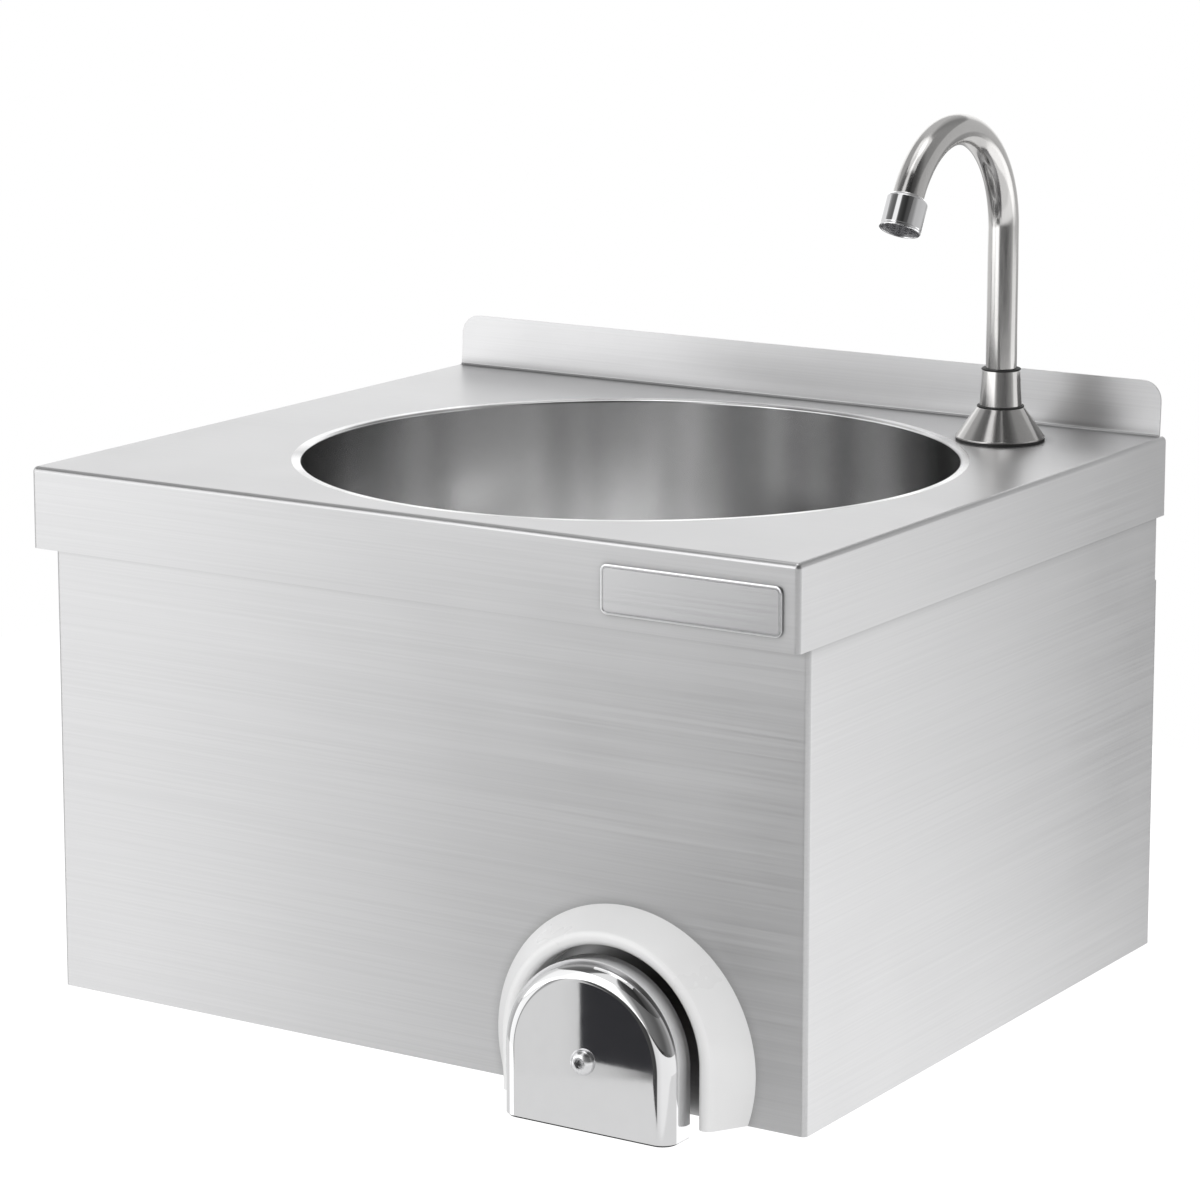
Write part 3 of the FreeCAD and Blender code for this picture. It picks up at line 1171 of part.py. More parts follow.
def make_inlet_nipples():
    """Hexagon nipples with a spigot in the mixer and a male thread for the hoses."""
    nipples = []
    for foot in inlet_feet():
        hexagon_part = hexagon(NIPPLE_ACROSS, foot, BACK, NIPPLE_HEX)
        thread = rod(G38_RADIUS, foot + BACK * NIPPLE_HEX, BACK, G38_LENGTH)
        spigot_start = foot - BACK * (NIPPLE_HEX - HOLE_FIT)
        spigot = rod(NIPPLE_SPIGOT_RADIUS - RUNNING_FIT, spigot_start, BACK, NIPPLE_HEX)
        nipple = spigot.fuse([hexagon_part, thread])
        nipple = nipple.cut(rod(WATER_BORE, foot - BACK * MIXER_BRANCH, BACK, 2 * MIXER_BRANCH))
        nipples.append(nipple.cut(rod(NIPPLE_BORE, foot + BACK * NIPPLE_HEX, BACK, G38_LENGTH + PAST)))
    return Part.makeCompound(nipples)


def make_check_valves():
    """Check valve cartridges inside the nipples."""
    cartridges = []
    outer = NIPPLE_BORE - RUNNING_FIT
    reach = NIPPLE_BORE - CARTRIDGE_WALL / 2
    half_arm = CARTRIDGE_ARM / 2
    for foot in inlet_feet():
        start = foot + BACK * NIPPLE_HEX
        cartridge = ring(outer, NIPPLE_BORE - CARTRIDGE_WALL, start, BACK, CARTRIDGE_LENGTH)
        stem = rod(CARTRIDGE_STEM_RADIUS, start, BACK, CARTRIDGE_LENGTH)
        cross = box(start - Vector(reach, 0, half_arm), start + Vector(reach, CARTRIDGE_ARM, half_arm))
        cartridges.append(cartridge.fuse([stem, cross]))
    return Part.makeCompound(cartridges)


def make_inlet_filters():
    """Pierced discs that keep grit out of the check valves."""
    filters = []
    for foot in inlet_feet():
        start = foot + BACK * (NIPPLE_HEX + CARTRIDGE_LENGTH)
        disc = rod(NIPPLE_BORE - RUNNING_FIT, start, BACK, FILTER_THICKNESS)
        holes = [rod(FILTER_HOLE_RADIUS, start - BACK * PAST, BACK, 2 * PAST)]
        for n in range(6):
            angle = n * math.pi / 3
            out = Vector(math.cos(angle), 0, math.sin(angle)) * FILTER_HOLE_CIRCLE
            holes.append(rod(FILTER_HOLE_RADIUS, start + out - BACK * PAST, BACK, 2 * PAST))
        filters.append(disc.cut(Part.makeCompound(holes)))
    return Part.makeCompound(filters)


def make_mixing_spindle():
    """Spindle turned by the knob: a flat opens one inlet as it closes the other."""
    outer = MIXER_BORE - RUNNING_FIT
    left = KNEE_X - MIXER_LENGTH / 2 + MIXER_RADIUS - MIXER_BORE + RUNNING_FIT
    gland = MIXER_RIGHT - NIPPLE_HEX
    end = MIXER_RIGHT + KNOB_GAP + KNOB_LENGTH * 2 / 3
    profile = [
        (left, 0),
        (left, outer),
        (left + KNOB_GAP, outer),
        (left + KNOB_GAP, SPINDLE_NECK_RADIUS),
        (gland - KNOB_GAP, SPINDLE_NECK_RADIUS),
        (gland - KNOB_GAP, outer),
        (gland, outer),
        (gland, STEM_RADIUS),
        (end, STEM_RADIUS),
        (end, 0),
    ]
    spindle = turned(profile, Vector(0, MIXER_Y, KNEE_Z), RIGHT)
    bore = rod(SCREW_RADIUS + RUNNING_FIT, Vector(end, MIXER_Y, KNEE_Z), RIGHT * -1, KNOB_LENGTH / 2)
    return spindle.cut(bore)


def make_spindle_gland():
    """Gland screwed into the mixer's end, round the spindle's stem."""
    origin = Vector(MIXER_RIGHT - NIPPLE_HEX + RUNNING_FIT, MIXER_Y, KNEE_Z)
    bore = STEM_RADIUS + RUNNING_FIT
    spigot = ring(MIXER_BORE - RUNNING_FIT, bore, origin, RIGHT, NIPPLE_HEX - RUNNING_FIT)
    face = Vector(MIXER_RIGHT, MIXER_Y, KNEE_Z)
    flange = nut(NIPPLE_ACROSS, bore, face, RIGHT, GLAND_FLANGE)
    return spigot.fuse(flange).removeSplitter()


def make_temperature_knob():
    """Fluted knob on the mixer's stem."""
    foot = Vector(MIXER_RIGHT + KNOB_GAP, MIXER_Y, KNEE_Z)
    profile = [(0, 0), (0, KNOB_RADIUS), (KNOB_LENGTH - KNOB_EDGE, KNOB_RADIUS)]
    profile += [(KNOB_LENGTH, KNOB_RADIUS - KNOB_EDGE), (KNOB_LENGTH, 0)]
    knob = turned(profile, foot, RIGHT)
    for n in range(KNOB_FLUTES):
        angle = 2 * math.pi * n / KNOB_FLUTES
        out = Vector(0, math.cos(angle), math.sin(angle)) * FLUTE_CIRCLE
        knob = knob.cut(rod(FLUTE_RADIUS, foot + out - RIGHT * PAST, RIGHT, KNOB_LENGTH + 2 * PAST))
    stem_depth = KNOB_LENGTH * 2 / 3 + RUNNING_FIT
    knob = knob.cut(rod(STEM_RADIUS + RUNNING_FIT, foot, RIGHT, stem_depth))
    knob = knob.cut(rod(SCREW_RADIUS + HOLE_FIT, foot, RIGHT, KNOB_LENGTH + PAST))
    well = Vector(MIXER_RIGHT + KNOB_GAP + KNOB_LENGTH - SCREW_HEAD, MIXER_Y, KNEE_Z)
    return knob.cut(rod(SCREW_HEAD_RADIUS + HOLE_FIT, well, RIGHT, SCREW_HEAD + PAST))


def make_knob_screw():
    seat = Vector(MIXER_RIGHT + KNOB_GAP + KNOB_LENGTH - SCREW_HEAD, MIXER_Y, KNEE_Z)
    return small_screw(seat, RIGHT * -1, KNOB_LENGTH / 2)


def make_mixer_bracket():
    """Shelf under the mixer, its folded end spot-welded to the casing's side."""
    wall = CASING_HALF - SHEET
    low = SHELF_TOP - BRACKET_SHEET
    left = KNEE_X - MIXER_LENGTH / 2
    corners = [(wall, SHELF_TOP + BRACKET_TAB), (wall, low), (left, low)]
    face = sheet_face(corners[::-1], [2 * BRACKET_SHEET], BRACKET_SHEET,
                      lambda x, z: Vector(x, MIXER_Y - BRACKET_WIDTH / 2, z))
    bracket = face.extrude(BACK * BRACKET_WIDTH)
    for spot in mixer_screw_spots():
        bracket = bracket.cut(rod(SCREW_RADIUS + HOLE_FIT, spot - UP * PAST, UP, 2 * PAST))
    return bracket


def make_mixer_screws():
    return Part.makeCompound([small_screw(spot, UP, MIXER_SCREW_LENGTH) for spot in mixer_screw_spots()])


PIECES = {
    "deck": make_deck,
    "bowl": make_bowl,
    "casing": make_casing,
    "wall_rail": make_wall_rail,
    "badge_plate": make_badge_plate,
    "drain_strainer": make_strainer,
    "strainer_screw": make_strainer_screw,
    "drain_upper_gasket": make_upper_gasket,
    "drain_lower_gasket": make_lower_gasket,
    "waste_body": make_waste_body,
    "spout_tube": make_spout_tube,
    "spout_clip": make_spout_clip,
    "aerator_cap": make_aerator_cap,
    "aerator_seal": make_aerator_seal,
    "aerator_insert": make_aerator_insert,
    "spout_collar": make_collar,
    "collar_seal": make_collar_seal,
    "cone_seal": make_cone_seal,
    "spout_cone": make_cone,
    "base_gasket": make_base_gasket,
    "tap_shank": make_shank,
    "spout_o_rings": make_spout_o_rings,
    "shank_gasket": make_shank_gasket,
    "shank_washer": make_shank_washer,
    "shank_nut": make_shank_nut,
    "shroud": make_shroud,
    "shroud_screws": make_shroud_screws,
    "knee_pad": make_knee_pad,
    "pad_core": make_pad_core,
    "pad_screw": make_pad_screw,
    "push_rod": make_push_rod,
    "rod_bush": make_rod_bush,
    "valve_nut": make_valve_nut,
    "valve_body": make_valve_body,
    "valve_plunger": make_plunger,
    "plunger_seals": make_plunger_seals,
    "return_spring": make_return_spring,
    "valve_plug": make_valve_plug,
    "feed_pipe": make_feed_pipe,
    "riser_pipe": make_riser_pipe,
    "union_nuts": make_union_nuts,
    "spout_union_nut": make_spout_union_nut,
    "union_washers": make_union_washers,
    "mixer_body": make_mixer_body,
    "inlet_nipples": make_inlet_nipples,
    "check_valves": make_check_valves,
    "inlet_filters": make_inlet_filters,
    "mixing_spindle": make_mixing_spindle,
    "spindle_gland": make_spindle_gland,
    "temperature_knob": make_temperature_knob,
    "knob_screw": make_knob_screw,
    "mixer_bracket": make_mixer_bracket,
    "mixer_screws": make_mixer_screws,
}

os.makedirs("parts", exist_ok=True)
for node, make in PIECES.items():
    shape = make()
    shape.exportStep("parts/" + node + ".step")
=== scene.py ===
import json
import logging
import math
from dataclasses import dataclass
from enum import Enum
from typing import Sequence

import bmesh
import bpy
import numpy as np
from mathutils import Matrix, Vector


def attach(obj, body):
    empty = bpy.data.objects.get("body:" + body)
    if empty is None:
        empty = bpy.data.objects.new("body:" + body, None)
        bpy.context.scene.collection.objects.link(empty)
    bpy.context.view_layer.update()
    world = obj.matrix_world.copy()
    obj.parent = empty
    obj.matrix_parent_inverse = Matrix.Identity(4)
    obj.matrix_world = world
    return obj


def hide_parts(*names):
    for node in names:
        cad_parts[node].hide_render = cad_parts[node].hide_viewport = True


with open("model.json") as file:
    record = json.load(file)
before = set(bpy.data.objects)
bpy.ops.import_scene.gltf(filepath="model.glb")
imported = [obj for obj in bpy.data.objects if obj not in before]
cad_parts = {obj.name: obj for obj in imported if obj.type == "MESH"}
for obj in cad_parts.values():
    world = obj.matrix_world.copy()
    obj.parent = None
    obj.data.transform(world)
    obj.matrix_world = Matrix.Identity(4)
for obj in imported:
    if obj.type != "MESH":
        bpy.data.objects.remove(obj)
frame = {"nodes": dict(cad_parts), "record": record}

LOG = logging.getLogger("hand_wash_sink")
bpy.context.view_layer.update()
MM = 0.001
MERGING = 0.01 * MM          # points of a CAD node closer than this are one
RELIEF_DEPTH = 0.0001        # depth of brushed lines and moulded pebbles, in metres
NOISE_RANGE = (0.3, 0.7)     # where nearly all values of a noise pattern lie


# ---- surfaces ---------------------------------------------------------------------------
def arc_path(corners: Sequence[Sequence[float]], radii: Sequence[float], steps: int) -> np.ndarray:
    """Path through flat corners, each rounded by a tangent arc.

    A point of an arc is its centre plus the radius turned evenly from the first tangent
    point to the last; the centre stands radius / sin(half the angle) inside the corner.

    Args:
        corners: Flat corner points.
        radii: One radius for each corner but the first and the last.
        steps: Pieces that an arc is divided into.

    Returns:
        Array of points, shape (n, 2).
    """
    points = np.asarray(corners, float)
    runs = [points[:1]]
    for before, corner, after, radius in zip(points, points[1:], points[2:], radii):
        back = (before - corner) / np.linalg.norm(before - corner)
        ahead = (after - corner) / np.linalg.norm(after - corner)
        half = math.acos(float(np.clip(back @ ahead, -1.0, 1.0))) / 2
        inward = (back + ahead) / np.linalg.norm(back + ahead)
        centre = corner + inward * radius / math.sin(half)
        first = corner + back * radius / math.tan(half) - centre
        last = corner + ahead * radius / math.tan(half) - centre
        sweep = math.pi - 2 * half
        share = np.linspace(0.0, 1.0, steps + 1)[:, None]
        arc = (first * np.sin((1 - share) * sweep) + last * np.sin(share * sweep)) / math.sin(sweep)
        runs.append(centre + arc)
    runs.append(points[-1:])
    return np.concatenate(runs)


def sheet_outline(corners: Sequence[Sequence[float]], radii: Sequence[float], thickness: float,
                  steps: int) -> np.ndarray:
    """Closed section of a bent sheet that lies to the left of a path.

    The far side runs parallel to the path: each corner moves along its mitre by the
    thickness, and each arc loses the thickness at a left turn and gains it at a right turn.

    Args:
        corners: Flat corner points of the near side.
        radii: One radius for each inner corner.
        thickness: Thickness of the sheet.
        steps: Pieces that an arc is divided into.

    Returns:
        Array of points, shape (n, 2), not repeating the first.
    """
    points = np.asarray(corners, float)
    ways = np.diff(points, axis=0)
    ways /= np.linalg.norm(ways, axis=1)[:, None]
    normals = np.stack([-ways[:, 1], ways[:, 0]], axis=1)
    mitres = normals[:-1] + normals[1:]
    mitres /= (1 + (normals[:-1] * normals[1:]).sum(axis=1))[:, None]
    offsets = np.concatenate([normals[:1], mitres, normals[-1:]])
    turns = np.sign(normals[:-1, 0] * normals[1:, 1] - normals[:-1, 1] * normals[1:, 0])
    near = arc_path(points, radii, steps)
    far = arc_path(points + offsets * thickness, np.asarray(radii) - turns * thickness, steps)
    return np.concatenate([near, far[::-1]])


def axes_for(axis: Sequence[float]) -> tuple[np.ndarray, np.ndarray, np.ndarray]:
    """Unit vector along an axis and two unit vectors square to it.

    Args:
        axis: Direction.

    Returns:
        The axis and its two cross directions.
    """
    along = np.asarray(axis, float)
    along /= np.linalg.norm(along)
    helper = np.array([1.0, 0.0, 0.0]) if abs(along[0]) < 0.9 else np.array([0.0, 0.0, 1.0])
    side = np.cross(along, helper)
    side /= np.linalg.norm(side)
    return along, side, np.cross(along, side)


def turned(profile: np.ndarray, origin: Sequence[float], axis: Sequence[float],
           segments: int) -> np.ndarray:
    """Surface of revolution.

    A point is the origin, plus the profile's first number along the axis, plus its second
    number times (cos angle, sin angle) in the plane square to the axis.

    Args:
        profile: Array of (along, radius), shape (n, 2).
        origin: Point on the axis.
        axis: Direction of the axis.
        segments: Steps in a full turn.

    Returns:
        Grid of points, shape (n, segments, 3), closed in its second direction.
    """
    along, side, other = axes_for(axis)
    angle = np.linspace(0.0, 2 * math.pi, segments, endpoint=False)
    circle = np.cos(angle)[:, None] * side + np.sin(angle)[:, None] * other
    return (np.asarray(origin, float) + profile[:, 0, None, None] * along
            + profile[:, 1, None, None] * circle[None])


def swept_circle(path: np.ndarray, across: Sequence[float], radius: float,
                 segments: int) -> np.ndarray:
    """Tube round a flat path.

    A point is the path's point plus the radius times (cos angle) of the fixed direction
    across the path's plane and (sin angle) of the direction square to it and to the path.

    Args:
        path: Points of the centreline, shape (n, 3).
        across: Unit vector square to the path's plane.
        radius: Radius of the tube.
        segments: Steps round the tube.

    Returns:
        Grid of points, shape (n, segments, 3), closed in its second direction.
    """
    ways = np.gradient(path, axis=0)
    ways[0] = path[1] - path[0]
    ways[-1] = path[-1] - path[-2]
    ways /= np.linalg.norm(ways, axis=1)[:, None]
    side = np.asarray(across, float)
    other = np.cross(ways, side)
    angle = np.linspace(0.0, 2 * math.pi, segments, endpoint=False)
    ring = np.cos(angle)[None, :, None] * side + np.sin(angle)[None, :, None] * other[:, None, :]
    return path[:, None, :] + radius * ring


@dataclass
class Shell:
    """Points and faces that become one mesh."""

    points: list[np.ndarray]
    faces: list[list[int]]
    tags: list[int]

    @classmethod
    def empty(cls) -> "Shell":
        """A shell with nothing in it."""
        return cls([], [], [])

    def count(self) -> int:
        """Number of points so far."""
        return sum(len(block) for block in self.points)

    def add_grid(self, grid: np.ndarray, close_u: bool = False, close_v: bool = False,
                 tag: int = 0) -> None:
        """Joins neighbouring points of a grid into four-sided faces.

        Face (i, j) has the corners (i, j), (i + 1, j), (i + 1, j + 1) and (i, j + 1).

        Args:
            grid: Points, shape (rows, columns, 3).
            close_u: Joins the last row to the first.
            close_v: Joins the last column to the first.
            tag: Material slot of the faces.
        """
        rows, columns = grid.shape[:2]
        start = self.count()
        index = start + np.arange(rows * columns).reshape(rows, columns)
        low_u = index if close_u else index[:-1]
        high_u = np.roll(index, -1, axis=0) if close_u else index[1:]
        if close_v:
            next_high, next_low = np.roll(high_u, -1, axis=1), np.roll(low_u, -1, axis=1)
            quads = np.stack([low_u, high_u, next_high, next_low], axis=-1)
        else:
            quads = np.stack([low_u[:, :-1], high_u[:, :-1], high_u[:, 1:], low_u[:, 1:]], axis=-1)
        faces = quads.reshape(-1, 4).tolist()
        self.points.append(grid.reshape(-1, 3))
        self.faces += faces
        self.tags += [tag] * len(faces)

    def add_fill(self, loop: np.ndarray, tag: int = 0) -> None:
        """Closes a flat loop of points with one face.

        Args:
            loop: Points, shape (n, 3).
            tag: Material slot of the face.
        """
        start = self.count()
        self.points.append(loop)
        self.faces.append(list(range(start, start + len(loop))))
        self.tags.append(tag)

    def mesh(self, name: str, merge: float = 1e-6) -> bpy.types.Mesh:
        """Puts the shell into a mesh, merges its seams and points its faces outwards.

        Args:
            name: Name of the mesh.
            merge: Distance under which two points become one.

        Returns:
            The mesh.
        """
        mesh = bpy.data.meshes.new(name)
        mesh.from_pydata(np.concatenate(self.points).tolist(), [], self.faces)
        mesh.polygons.foreach_set("material_index", self.tags)
        solid = bmesh.new()
        solid.from_mesh(mesh)
        bmesh.ops.remove_doubles(solid, verts=solid.verts, dist=merge)
        bmesh.ops.dissolve_degenerate(solid, dist=merge / 10, edges=solid.edges)
        bmesh.ops.recalc_face_normals(solid, faces=solid.faces)
        solid.to_mesh(mesh)
        solid.free()
        return mesh


def points_of(mesh: bpy.types.Mesh) -> np.ndarray:
    """Points of a mesh, shape (n, 3)."""
    points = np.empty(len(mesh.vertices) * 3)
    mesh.vertices.foreach_get("co", points)
    return points.reshape(-1, 3)


def add_object(name: str, data: bpy.types.ID) -> bpy.types.Object:
    """Puts a mesh, a lamp or a camera in the scene.

    Args:
        name: Name of the object.
        data: What it shows.

    Returns:
        The object, at the origin.
    """
    made = bpy.data.objects.new(name, data)
    bpy.context.scene.collection.objects.link(made)
    return made


def merged_copy(node: str) -> bpy.types.Mesh:
    """Copy of a CAD node's mesh with its loose triangles joined.

    Points that agree to the merging distance become one, and triangles that lose a corner
    by that are left out.

    Args:
        node: Name of the CAD node.

    Returns:
        The joined mesh.
    """
    source = frame["nodes"][node].data
    points = points_of(source)
    source.calc_loop_triangles()
    corners = np.empty(len(source.loop_triangles) * 3, dtype=np.int64)
    source.loop_triangles.foreach_get("vertices", corners)
    keys = np.round(points / MERGING).astype(np.int64)
    _, first, inverse = np.unique(keys, axis=0, return_index=True, return_inverse=True)
    faces = inverse.reshape(-1)[corners].reshape(-1, 3)
    whole = (faces[:, 0] != faces[:, 1]) & (faces[:, 1] != faces[:, 2]) & (faces[:, 2] != faces[:, 0])
    mesh = bpy.data.meshes.new(node + "_surface")
    mesh.from_pydata(points[first].tolist(), [], faces[whole].tolist())
    return mesh


# ---- finishes ---------------------------------------------------------------------------
class Grain(Enum):
    """Which way the fine lines of a metal finish run."""

    SHEET = "along the width, and along the depth on the sides"
    UPRIGHT_AXIS = "round an upright axis"
    TUBE = "along the tube"
    NONE = "no direction"


class Shader:
    """A node material being put together."""

    def __init__(self, name: str) -> None:
        """Starts a material with its shader.

        Args:
            name: Name of the material.
        """
        self.material = bpy.data.materials.new(name)
        self.material.use_nodes = True
        self.tree = self.material.node_tree
        self.surface = self.tree.nodes["Principled BSDF"]

    def node(self, kind: str, **settings: object) -> bpy.types.Node:
        """Adds a node.

        Args:
            kind: Blender's name of the node type.
            settings: Values of the node's own properties.

        Returns:
            The node.
        """
        made = self.tree.nodes.new(kind)
        for key, value in settings.items():
            setattr(made, key, value)
        return made

    def join(self, source: bpy.types.NodeSocket, target: bpy.types.NodeSocket) -> None:
        """Links one socket to another."""
        self.tree.links.new(source, target)

    def math(self, operation: str, *values: object) -> bpy.types.NodeSocket:
        """Adds a sum of numbers or sockets.

        Args:
            operation: Blender's name of the operation.
            values: Numbers or sockets.

        Returns:
            The result.
        """
        made = self.node("ShaderNodeMath", operation=operation)
        for slot, value in zip(made.inputs, values):
            if isinstance(value, (int, float)):
                slot.default_value = value
            else:
                self.join(value, slot)
        return made.outputs[0]

    def place(self, centre: Sequence[float] = (0.0, 0.0, 0.0)) -> bpy.types.NodeSocket:
        """Object coordinates counted from a centre."""
        centred = self.node("ShaderNodeMapping")
        centred.inputs["Location"].default_value = [-c for c in centre]
        self.join(self.node("ShaderNodeTexCoord").outputs["Object"], centred.inputs["Vector"])
        return centred.outputs[0]

    def noise(self, vector: bpy.types.NodeSocket, scale: float, detail: float) -> bpy.types.NodeSocket:
        """Adds a noise pattern and returns its value."""
        made = self.node("ShaderNodeTexNoise")
        made.inputs["Scale"].default_value = scale
        made.inputs["Detail"].default_value = detail
        self.join(vector, made.inputs["Vector"])
        return made.outputs["Fac"]

    def between(self, value: bpy.types.NodeSocket, low: float, high: float) -> bpy.types.NodeSocket:
        """Spreads a noise value from its usual range over low to high."""
        made = self.node("ShaderNodeMapRange")
        for slot, number in zip(("From Min", "From Max", "To Min", "To Max"), (*NOISE_RANGE, low, high)):
            made.inputs[slot].default_value = number
        self.join(value, made.inputs["Value"])
        return made.outputs["Result"]

    def tinted(self, value: bpy.types.NodeSocket, colour: Sequence[float], spread: float) -> None:
        """Varies the base colour a little with a noise value.

        Args:
            value: Noise value.
            colour: Middle colour.
            spread: Part by which it is darker and lighter.
        """
        mix = self.node("ShaderNodeMix", data_type="RGBA")
        self.join(self.between(value, 0.0, 1.0), mix.inputs["Factor"])
        mix.inputs[6].default_value = (*[c * (1 - spread) for c in colour], 1.0)
        mix.inputs[7].default_value = (*[min(1.0, c * (1 + spread)) for c in colour], 1.0)
        self.join(mix.outputs[2], self.surface.inputs["Base Color"])

    def paint_corner_shade(self, reach: float, amount: float) -> None:
        """Paints shade into the base colour where other surfaces stand close: painted corner shade.

        Args:
            reach: How far a surface reaches, in metres.
            amount: Share of the colour that a full corner loses.
        """
        target = self.surface.inputs["Base Color"]
        colour = target.links[0].from_socket
        near = self.node("ShaderNodeAmbientOcclusion", samples=8)
        near.inputs["Distance"].default_value = reach
        mix = self.node("ShaderNodeMix", data_type="RGBA", blend_type="MULTIPLY")
        mix.inputs["Factor"].default_value = amount
        self.join(colour, mix.inputs[6])
        self.join(near.outputs["Color"], mix.inputs[7])
        self.join(mix.outputs[2], target)

    def relief(self, value: bpy.types.NodeSocket, strength: float) -> None:
        """Uses a noise value as fine relief."""
        bump = self.node("ShaderNodeBump")
        bump.inputs["Strength"].default_value = strength
        bump.inputs["Distance"].default_value = RELIEF_DEPTH
        self.join(value, bump.inputs["Height"])
        self.join(bump.outputs["Normal"], self.surface.inputs["Normal"])


SIDE_FACING = 0.7            # a face whose normal has more than this along X is a side
SHEET_COARSE = 6.0           # noise cells per metre along the lines of sheet
TUBE_COARSE = 72.0           # and of tube
TURN_COARSE = 1.5            # noise cells per radian along lines round an axis


@dataclass(frozen=True)
class MetalFinish:
    """A metal with fine lines, worn a little unevenly.

    The spreads say by how much the colour and the roughness vary, relief and density how
    deep and how fine the lines are, bands how much broad bands of painted reflection darken
    and lighten the colour, and the painted shade's reach how near another surface has to
    stand for shade to be painted on this one.
    """

    name: str
    colour: tuple[float, float, float]
    roughness: float
    grain: Grain = Grain.NONE
    spread: float = 0.05
    roughness_spread: float = 0.05
    relief: float = 0.1
    density: float = 900.0
    centre: tuple[float, float, float] = (0.0, 0.0, 0.0)
    bands: float = 0.0
    painted_shade_reach: float = 0.0
    corner_shade: float = 0.9
    band_scale: float = 3.4
    cloud_scale: float = 14.0
    line_share: float = 0.6

    def reflection_band_noise(self, shader: Shader) -> bpy.types.NodeSocket:
        """Broad bands round an upright axis, partly uneven polish and mostly painted reflection of light and
        dark surroundings: noise that changes with the direction alone.
        """
        flat = shader.node("ShaderNodeVectorMath", operation="MULTIPLY")
        flat.inputs[1].default_value = (1.0, 1.0, 0.0)
        shader.join(shader.place(self.centre), flat.inputs[0])
        way = shader.node("ShaderNodeVectorMath", operation="NORMALIZE")
        shader.join(flat.outputs[0], way.inputs[0])
        return shader.noise(way.outputs[0], self.band_scale, 1.0)

    def grain_vector(self, shader: Shader) -> bpy.types.NodeSocket:
        """Coordinates that are short across the lines and long along them.

        Args:
            shader: The material being put together.

        Returns:
            The stretched coordinates.
        """
        parts = shader.node("ShaderNodeSeparateXYZ")
        shader.join(shader.place(self.centre), parts.inputs[0])
        x, y, z = parts.outputs
        fine = self.density
        if self.grain is Grain.SHEET:
            facing = shader.node("ShaderNodeSeparateXYZ")
            shader.join(shader.node("ShaderNodeNewGeometry").outputs["Normal"], facing.inputs[0])
            side = shader.math("GREATER_THAN", shader.math("ABSOLUTE", facing.outputs[0]), SIDE_FACING)
            along = shader.node("ShaderNodeMix", data_type="FLOAT")
            across = shader.node("ShaderNodeMix", data_type="FLOAT")
            for mix, first, second in ((along, x, y), (across, y, x)):
                shader.join(side, mix.inputs[0])
                shader.join(first, mix.inputs[2])
                shader.join(second, mix.inputs[3])
            scaled = ((along.outputs[0], SHEET_COARSE), (across.outputs[0], fine), (z, fine))
        elif self.grain is Grain.UPRIGHT_AXIS:
            squares = shader.math("ADD", shader.math("MULTIPLY", x, x), shader.math("MULTIPLY", y, y))
            turn = shader.math("ARCTAN2", y, x)
            scaled = ((shader.math("SQRT", squares), fine), (z, fine), (turn, TURN_COARSE))
        elif self.grain is Grain.TUBE:
            scaled = ((x, fine), (y, fine), (z, TUBE_COARSE))
        else:
            scaled = ((x, fine), (y, fine), (z, fine))
        packed = shader.node("ShaderNodeCombineXYZ")
        for (value, factor), slot in zip(scaled, packed.inputs):
            shader.join(shader.math("MULTIPLY", value, factor), slot)
        return packed.outputs[0]

    def build(self) -> bpy.types.Material:
        """Makes the material: lines in colour, roughness and relief, over broad faint clouds."""
        shader = Shader(self.name)
        surface = shader.surface.inputs
        surface["Metallic"].default_value = 1.0
        lines = shader.noise(self.grain_vector(shader), 1.0, 3.0)
        clouds = shader.noise(shader.place(), self.cloud_scale, 3.0)
        # painted reflection: broad light and dark bands in the colour, round an upright axis
        if self.bands:
            shader.tinted(self.reflection_band_noise(shader), self.colour, self.bands)
        else:
            shader.tinted(lines, self.colour, self.spread)
        # painted shade: the base colour is darkened near other surfaces
        if self.painted_shade_reach:
            shader.paint_corner_shade(self.painted_shade_reach, self.corner_shade)
        uneven = shader.math("ADD", shader.math("MULTIPLY", lines, self.line_share),
                             shader.math("MULTIPLY", clouds, 1.0 - self.line_share))
        low, high = self.roughness - self.roughness_spread, self.roughness + self.roughness_spread
        shader.join(shader.between(uneven, low, high), surface["Roughness"])
        shader.relief(lines, self.relief)
        return shader.material


@dataclass(frozen=True)
class MouldedFinish:
    """A plastic or rubber with a fine moulded texture."""

    name: str
    colour: tuple[float, float, float]
    roughness: float
    coat: float = 0.0
    spread: float = 0.03
    texture: float = 0.05
    scale: float = 900.0
    cloud_scale: float = 30.0
    coat_roughness: float = 0.08
    roughness_spread: float = 0.15

    def build(self) -> bpy.types.Material:
        """Makes the material: faint clouds in colour and roughness and a fine pebbled relief."""
        shader = Shader(self.name)
        surface = shader.surface.inputs
        surface["Coat Weight"].default_value = self.coat
        surface["Coat Roughness"].default_value = self.coat_roughness
        clouds = shader.noise(shader.place(), self.cloud_scale, 4.0)
        pebbles = shader.noise(shader.place(), self.scale, 2.0)
        shader.tinted(clouds, self.colour, self.spread)
        low, high = (self.roughness * (1 + sign * self.roughness_spread) for sign in (-1, 1))
        shader.join(shader.between(clouds, low, high), surface["Roughness"])
        shader.relief(pebbles, self.texture)
        return shader.material


